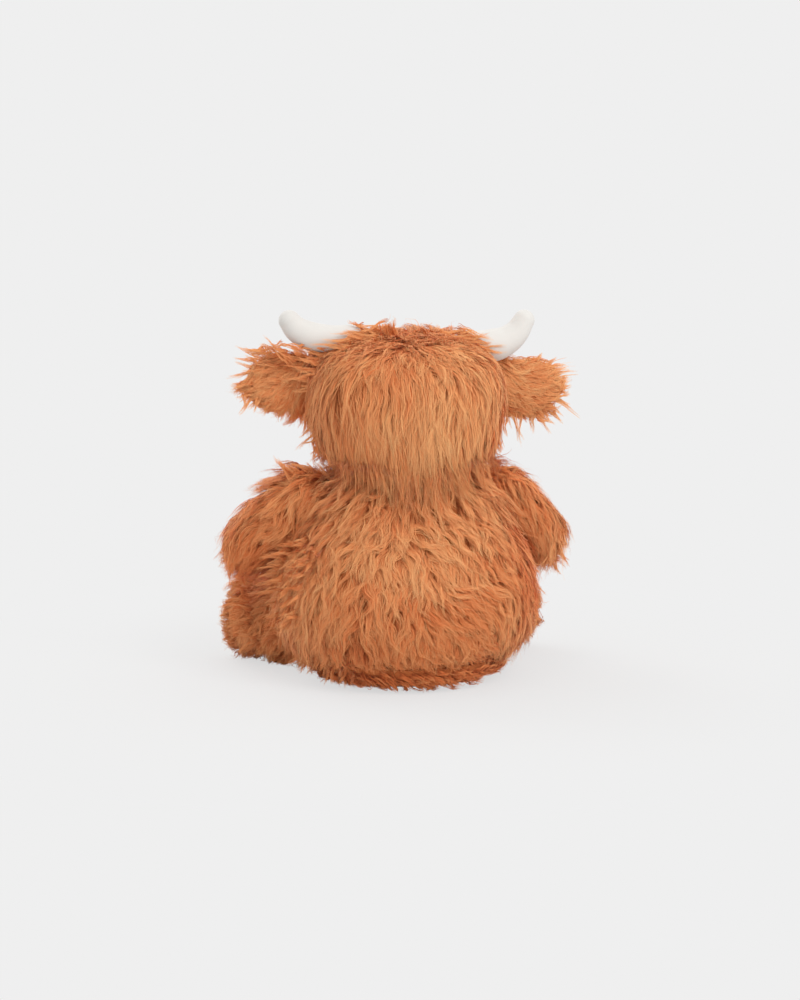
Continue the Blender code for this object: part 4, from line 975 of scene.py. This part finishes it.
# Single locks that stand out from the outline. Each piece has a depth along y, and each lock the places of
# its root and tip, across and up, in millimetres as seen from behind
WISPS = {
    "left_ear": (-14, [
        (-130, 295, -149, 303), (-132, 292, -151, 294), (-134, 283, -157, 276), (-135, 273, -152, 267),
        (-134, 264, -149, 259), (-134, 257, -146, 243), (-125, 257, -139, 247), (-115, 259, -125, 241),
        (-106, 256, -117, 245), (-126, 298, -140, 301), (-117, 300, -128, 306), (-99, 255, -104, 247)]),
    "right_ear": (-16, [
        (119, 293, 127, 303), (132, 290, 138, 298), (136, 283, 159, 285), (142, 273, 150, 280),
        (136, 257, 165, 242), (136, 250, 147, 239), (124, 248, 134, 230), (115, 248, 118, 228),
        (100, 248, 108, 218), (95, 250, 98, 235), (110, 292, 115, 298), (140, 264, 152, 264),
        (145, 269, 154, 273), (129, 246, 138, 235)]),
    "left_arm": (-38, [
        (-153, 131, -172, 115), (-153, 123, -168, 106), (-149, 143, -163, 132), (-145, 154, -159, 147),
        (-134, 169, -147, 162), (-124, 180, -140, 175), (-145, 115, -156, 104), (-115, 188, -130, 186),
        (-131, 117, -140, 103)]),
    "right_arm": (-38, [
        (103, 188, 109, 195), (117, 175, 127, 177), (133, 156, 146, 154), (142, 143, 150, 141),
        (145, 129, 153, 122), (145, 120, 154, 107), (138, 110, 147, 98), (129, 113, 134, 102)]),
    "torso": (4, [
        (-103, 191, -115, 206), (-96, 193, -110, 202), (-86, 193, -101, 201), (-78, 194, -89, 202),
        (76, 195, 80, 202), (87, 193, 95, 202), (95, 188, 103, 196), (115, 101, 125, 104), (117, 93, 130, 81),
        (117, 64, 123, 58), (117, 78, 124, 74), (-69, 191, -79, 203), (-64, 191, -73, 202),
        (-60, 193, -68, 202), (70, 194, 74, 203), (-92, 28, -106, 19), (-85, 23, -96, 15), (-78, 21, -87, 12),
        (-112, 112, -132, 107), (-108, 104, -130, 100), (-110, 97, -134, 92), (-106, 120, -128, 116),
        (-112, 88, -134, 84)]),
    "left_leg_tip": (-62, [(-149, 67, -162, 63), (-149, 60, -162, 55), (-149, 53, -161, 48),
                           (-148, 63, -164, 59), (-148, 56, -162, 51)]),
    "left_leg": (-62, [
        (-150, 79, -166, 76), (-150, 73, -168, 69), (-149, 62, -161, 57), (-140, 44, -153, 46),
        (-142, 37, -154, 28), (-150, 67, -162, 66), (-149, 57, -161, 53), (-147, 50, -160, 46),
        (-149, 60, -160, 60), (-128, 32, -135, 25), (-115, 25, -123, 16), (-149, 90, -161, 92)]),
    "head": (6, [
        (-83, 248, -91, 235), (-83, 234, -91, 224), (-80, 223, -97, 211), (-76, 214, -83, 207),
        (86, 234, 90, 214), (84, 221, 87, 209), (80, 214, 71, 202), (-37, 320, -52, 327),
        (-106, 298, -123, 312), (-96, 300, -115, 306), (-108, 300, -118, 304), (-73, 296, -98, 300),
        (-76, 290, -104, 294), (-78, 284, -106, 286), (-80, 276, -104, 276),
        (-74, 301, -100, 304), (-80, 268, -100, 265), (-78, 214, -80, 200), (-72, 210, -74, 196),
        (-64, 208, -66, 194)]),
    "head_top": (16, [
        (-23, 316, -44, 321), (-27, 312, -55, 317), (-34, 311, -64, 314), (-41, 307, -73, 308),
        (-46, 303, -85, 303), (46, 314, 66, 317), (55, 313, 80, 311), (60, 308, 91, 306), (69, 302, 91, 300),
        (41, 313, 60, 317)])}
WISP_LOOK = {"left_ear": ("left_ear", 0.60, 0.0030), "right_ear": ("right_ear", 0.72, 0.0030),
             "left_arm": ("left_arm", 0.45, 0.0024),
             "right_arm": ("right_arm", 0.50, 0.0024), "torso": ("torso", 0.45, 0.0020),
             "left_leg": ("left_leg", 0.42, 0.0024), "left_leg_tip": ("left_leg", 0.42, 0.0034),
             "head": ("head", 0.42, 0.0020), "head_top": ("head", 0.60, 0.0034)}


def placed(across, up, depth):
    """The point at that depth which is seen across and up in millimetres."""
    x = (225 * depth + 0.9 - across) / 974
    return np.stack([x, depth + 0 * x, (up - 11 + 136 * depth + 31 * x) / 990], -1)


def wisps(name, depth, strokes, body, tone, spread, seed, copies=3):
    r = np.random.default_rng(seed)
    rows = np.repeat(np.array(strokes, float), copies, axis=0)
    jitter = np.tile(np.array([[0, 0, 0, 0]] + [[1] * 4] * (copies - 1), float), (len(strokes), 1))
    rows = rows + jitter * r.normal(0, (2.2, 2.2, 2.8, 2.8), rows.shape)
    rows[:, 2:] = rows[:, :2] + (rows[:, 2:] - rows[:, :2]) * np.where(jitter[:, :1] > 0,
            r.uniform(0.5, 0.9, (len(rows), 1)), 1.10)
    deep = depth / 1000 + r.normal(0, 0.0025, len(rows)) * jitter[:, 0]
    start, end = placed(rows[:, 0], rows[:, 1], deep), placed(rows[:, 2], rows[:, 3], deep)
    back = (start - end) * 0.5
    t = np.linspace(-1, 1, 9)[None, :, None]
    side = unit(np.cross(end - start, TO_CAMERA))
    bow = (r.uniform(-0.10, 0.10, (len(rows), 1, 1)) + 0.04 *
           np.sin(5 * t + r.uniform(0, 6, (len(rows), 1, 1)))) * (1 - t ** 2)
    reach = np.linalg.norm(end - start, axis=1)[:, None, None]
    lines = start[:, None] + np.where(t < 0, -back[:, None] * t, (end - start)[:, None] * t) + side[:,
            None] * bow * reach
    norms = np.broadcast_to(TO_CAMERA, lines.shape)
    me = strands(name, lines, norms, 16 * 16 * len(rows) * 1.2, spread, 0.00050, np.full(len(rows), tone),
                 seed, subs=2, clump=0.85, fly=0.0, ragged=0.90)
    return new_piece(name, me, FUR, body)


flanks = lambda p, n: (p[:, 0] > 0.082) & (p[:, 2] > 0.060) & (p[:, 2] < 0.132) & (p[:, 1] > -0.025) & (p[:,
        1] < 0.050) & clear_of_limbs(p)
tuft("flank_tufts", body_skin, flanks, 150, 0.024, (0.0, 0.25, -0.55), "torso", 280, 0.50, cap=70000)
tuft("hem_tufts", body_skin, lambda p, n: (p[:, 0] > 0.060) & (p[:, 2] > 0.020) & (p[:, 2] < 0.034) &
     (p[:, 1] > 0.0), 60, 0.020,
     (0.25, 0.10, -0.75), "torso", 285, 0.36, cap=40000)
for i, (key, (depth, strokes)) in enumerate(WISPS.items()):
    body, tone, spread = WISP_LOOK[key]
    wisps(key + "_wisps", depth, strokes, body, tone, spread, 700 + i, copies=5 if key == "head_top" else 3)

# Horns

HORN_ROWS = np.array([(0.30, -0.5, 0.58), (0.42, 0.0, 0.97), (0.62, 0.0, 1.03), (0.76, 0.08, 1.0),
                      (0.86, 0.26, 0.93), (0.94, 0.56, 0.82), (1.0, 1.0, 0.68)])


def spline(rows, count):
    """Catmull-Rom through rows."""
    p = np.vstack([2 * rows[0] - rows[1], rows, 2 * rows[-1] - rows[-2]])
    out = []
    for t in np.linspace(0, len(rows) - 1 - 1e-9, count):
        i = int(t)
        f = t - i
        a, b, c, d = p[i:i + 4]
        out.append(0.5 * (2 * b + (c - a) * f + (2 * a - 5 * b + 4 * c - d) * f ** 2 +
                          (3 * b - a - 3 * c + d) * f ** 3))
    return np.array(out)


for s in (1, -1):
    word = WORD[s]
    rows = HORN_ROWS.copy()
    rows[:, 2] *= (0.84, 0.84, 0.86, 0.94, 1, 1.02, 1.04) if s > 0 else (1, 1, 1.06, 1.09, 1.04, 1.02, 1.04)
    rows = spline(rows, 48)
    foot = HEAD_Z + HEAD_H * 0.87
    span, sag, lift = (0.1046, -0.0040, 0.0205) if s > 0 else (0.1102, 0.0055, 0.0180)
    centres = np.stack([s * span * rows[:, 0], np.zeros(48), foot + lift * rows[:, 1] - sag *
                        (1 - rows[:, 1])], 1)
    radii = 0.0135 * rows[:, 2]
    tangents = unit(np.gradient(centres, axis=0))
    rings, a = [], np.linspace(0, 2 * math.pi, 48, endpoint=False)
    for c, r, t in zip(centres, radii, tangents):
        other = np.cross(t, (0, 1.0, 0))
        rings.append(c + r * (np.cos(a)[:, None] * np.array([0, 1.0, 0]) + np.sin(a)[:, None] * other))
    for step in np.linspace(0.12, 0.985, 9):
        ang = math.pi / 2 * step
        c, t = centres[-1], tangents[-1]
        other = np.cross(t, (0, 1.0, 0))
        r = radii[-1]
        rings.append(c + t * r * math.sin(ang) + r * math.cos(ang) *
                     (np.cos(a)[:, None] * np.array([0, 1.0, 0]) + np.sin(a)[:, None] * other))
    skin = Skin(*grid(np.array(rings), (None, centres[-1] + tangents[-1] * radii[-1])))
    stuffed(word + "_horn", skin, HORN, "head", (word + "_horn_cover", word + "_horn_fill"))

# Muzzle, eyes, soles

MUZZLE_ROWS = np.array([(0.0, 0.94, 0.90), (0.42, 0.99, 0.98), (0.62, 1.0, 1.0), (0.80, 0.93, 0.93),
                        (0.92, 0.74, 0.74), (0.98, 0.44, 0.44), (1.0, 0.05, 0.05)])
rows = spline(MUZZLE_ROWS, 48)
angles = np.linspace(0, 2 * math.pi, 144, endpoint=False)
rings = []
for ahead, w, h in rows:
    x, zz = superellipse(angles, 0.046 * max(w, 0.01), 0.029 * max(h, 0.01), 0.029 * max(h, 0.01), 2.2)
    yy = -(0.035 + min(ahead, 1.0) * 0.077)
    rings.append(np.stack([x, np.full_like(x, yy), 0.22975 + zz], 1))
rings = np.array(rings)
front = smoothstep(-0.055, -0.100, rings[..., 1])
seam = 0.0008 * np.exp(-(rings[..., 0] / 0.0011) ** 2)
dimple = sum(0.0016 * np.exp(-((rings[..., 0] - x) ** 2 +
        (rings[..., 2] - 0.2345) ** 2) / 0.0055 ** 2) for x in (-0.0135, 0.0135))
rings[..., 1] += front * (seam + dimple)
skin = Skin(*grid(rings))
stuffed("muzzle", skin, CREAM, "head", ("muzzle_cover", "muzzle_fill"))


def dome(name, centre, look, radius, depth, material, body, replaces, tall=1.0, back=0.0):
    look = unit(np.array(look, float))
    side = unit(np.cross(look, (0, 0, 1.0)))
    up = np.cross(side, look)
    a = np.linspace(0, 2 * math.pi, 40, endpoint=False)
    rings = []
    for t in np.linspace(-0.35, 0.97, 18):
        ang = t * math.pi / 2
        r, z = radius * math.cos(ang), depth * math.sin(ang)
        rings.append(np.array(centre) + look * (z - back) + r * np.cos(a)[:, None] * side + r * tall *
                     np.sin(a)[:, None] * up)
    skin = Skin(*grid(np.array(rings), (None, np.array(centre) + look * (depth - back))))
    return new_piece(name, raw_mesh(name, skin.co, skin.tri), material, body, replaces)


for s in (1, -1):
    word = WORD[s]
    turn_out = math.radians(17)
    low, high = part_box(word + "_eye")
    look = (s * math.sin(turn_out), -math.cos(turn_out), 0.0)
    front = np.array([(low.x + high.x) / 2 + s * 0.0025, low.y, (low.z + high.z) / 2])
    centre = front - np.array(look) * 0.0052
    dome(word + "_eye_dome", centre, look, 0.0076, 0.0052, PLASTIC, "head", (word + "_eye",))
    low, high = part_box(word + "_nostril")
    centre = np.array((low + high) / 2)
    dome(word + "_nostril_stitch", centre, (s * 0.3, -1, 0.1), 0.0036, 0.0022, THREAD, "head",
         (word + "_nostril",), tall=1.35)

    root, d = LEGS[s]
    side, up = limb_axes(d)
    a = np.linspace(0, 2 * math.pi, 56, endpoint=False)
    last = LEG_R * 0.95 - 0.0035
    rings = []
    for ang in np.linspace(math.radians(27), math.radians(88), 16):
        along, r = LEG_L + (LEG_END - 0.002) * math.sin(ang), last * math.cos(ang)
        rings.append(root + d * along + r * (np.cos(a)[:, None] * side + np.sin(a)[:, None] * up))
    rings = np.array(rings)
    rings[..., 2] = np.maximum(rings[..., 2], 0.0036)
    skin = Skin(*grid(rings))
    stuffed(word + "_sole_pad", skin, CREAM, word + "_leg", (word + "_sole",))

# Studio

BACKGROUND = 0.863


def build_world():
    world = bpy.data.worlds.new("studio")
    bpy.context.scene.world = world
    world.use_nodes = True
    nodes, links = world.node_tree.nodes, world.node_tree.links
    light = nodes["Background"]
    light.inputs["Color"].default_value = (1.0, 0.99, 0.98, 1)
    light.inputs["Strength"].default_value = 0.79
    plain = nodes.new("ShaderNodeBackground")
    plain.inputs["Color"].default_value = (BACKGROUND, BACKGROUND, BACKGROUND, 1)
    plain.inputs["Strength"].default_value = 1.0
    path, mix = nodes.new("ShaderNodeLightPath"), nodes.new("ShaderNodeMixShader")
    most = nodes.new("ShaderNodeMath")
    most.operation = "MAXIMUM"
    links.new(path.outputs["Is Camera Ray"], most.inputs[0])
    links.new(path.outputs["Is Glossy Ray"], most.inputs[1])
    links.new(most.outputs[0], mix.inputs[0])
    links.new(light.outputs[0], mix.inputs[1])
    links.new(plain.outputs[0], mix.inputs[2])
    links.new(mix.outputs[0], nodes["World Output"].inputs["Surface"])


def build_floor():
    a = np.linspace(0, 2 * math.pi, 96, endpoint=False)
    rings = [np.stack([np.cos(a) * r, np.sin(a) * r, np.full_like(a, -0.0004)], 1) for r in (0.05, 0.3, 1, 4,
            20)]
    rings = np.array(rings)
    s = 96
    i = np.arange(4)[:, None] * s
    c, b = np.arange(s)[None], (np.arange(s)[None] + 1) % s
    q = np.stack([i + c, i + s + c, i + s + b, i + b], -1).reshape(-1, 4)
    co = np.vstack([rings.reshape(-1, 3), [[0, 0, -0.0004]]])
    fan = np.stack([np.arange(s), (np.arange(s) + 1) % s, np.full(s, len(co) - 1)], -1)
    tri = np.concatenate([q[:, [0, 1, 2]], q[:, [0, 2, 3]], fan])
    m, nodes, links, shader = new_material("pale_floor", 0.9, 0.1)
    shader.inputs["Base Color"].default_value = (0.74, 0.74, 0.74, 1)
    geo, ln = nodes.new("ShaderNodeTexCoord"), nodes.new("ShaderNodeVectorMath")
    ln.operation = "LENGTH"
    links.new(geo.outputs["Object"], ln.inputs[0])
    fade = nodes.new("ShaderNodeMapRange")
    fade.interpolation_type = "SMOOTHSTEP"
    fade.inputs["From Min"].default_value, fade.inputs["From Max"].default_value = 0.16, 0.48
    fade.inputs["To Min"].default_value = 0.74
    links.new(ln.outputs["Value"], fade.inputs["Value"])
    glow = nodes.new("ShaderNodeEmission")
    glow.inputs["Color"].default_value = (BACKGROUND, BACKGROUND, BACKGROUND, 1)
    path, both = nodes.new("ShaderNodeLightPath"), nodes.new("ShaderNodeMath")
    both.operation = "MULTIPLY"
    links.new(path.outputs["Is Camera Ray"], both.inputs[0])
    links.new(fade.outputs["Result"], both.inputs[1])
    mix = nodes.new("ShaderNodeMixShader")
    links.new(both.outputs[0], mix.inputs[0])
    links.new(shader.outputs[0], mix.inputs[1])
    links.new(glow.outputs[0], mix.inputs[2])
    links.new(mix.outputs[0], nodes["Material Output"].inputs["Surface"])
    floor = new_piece("floor", raw_mesh("floor", co, tri), m)


def area_light(name, position, size, energy, colour=(1, 1, 1)):
    data = bpy.data.lights.new(name, "AREA")
    data.shape, data.size, data.energy, data.color = "DISK", size, energy, colour
    obj = bpy.data.objects.new(name, data)
    bpy.context.scene.collection.objects.link(obj)
    obj.location = position
    obj.rotation_euler = (Vector((0, 0, 0.16)) - Vector(position)).to_track_quat("-Z", "Y").to_euler()


def build_camera():
    azimuth, elevation, distance = math.radians(167), math.radians(8), 2.125
    target = Vector((0.0045, 0, 0.1588))
    place = Vector((math.sin(azimuth) * math.cos(elevation), -math.cos(azimuth) * math.cos(elevation),
                    math.sin(elevation)))
    data = bpy.data.cameras.new("camera")
    data.lens, data.sensor_width = 85, 36
    data.clip_start, data.clip_end = 0.05, 60
    obj = bpy.data.objects.new("camera", data)
    bpy.context.scene.collection.objects.link(obj)
    obj.location = target + place * distance
    obj.rotation_euler = (-place).to_track_quat("-Z", "Y").to_euler()
    bpy.context.scene.camera = obj


build_world()
build_floor()
area_light("key", (-0.62, 1.42, 1.5), 1.2, 18)
area_light("front_fill", (0.9, -1.3, 1.2), 1.2, 11)
build_camera()
bpy.context.scene.view_settings.view_transform = "Standard"
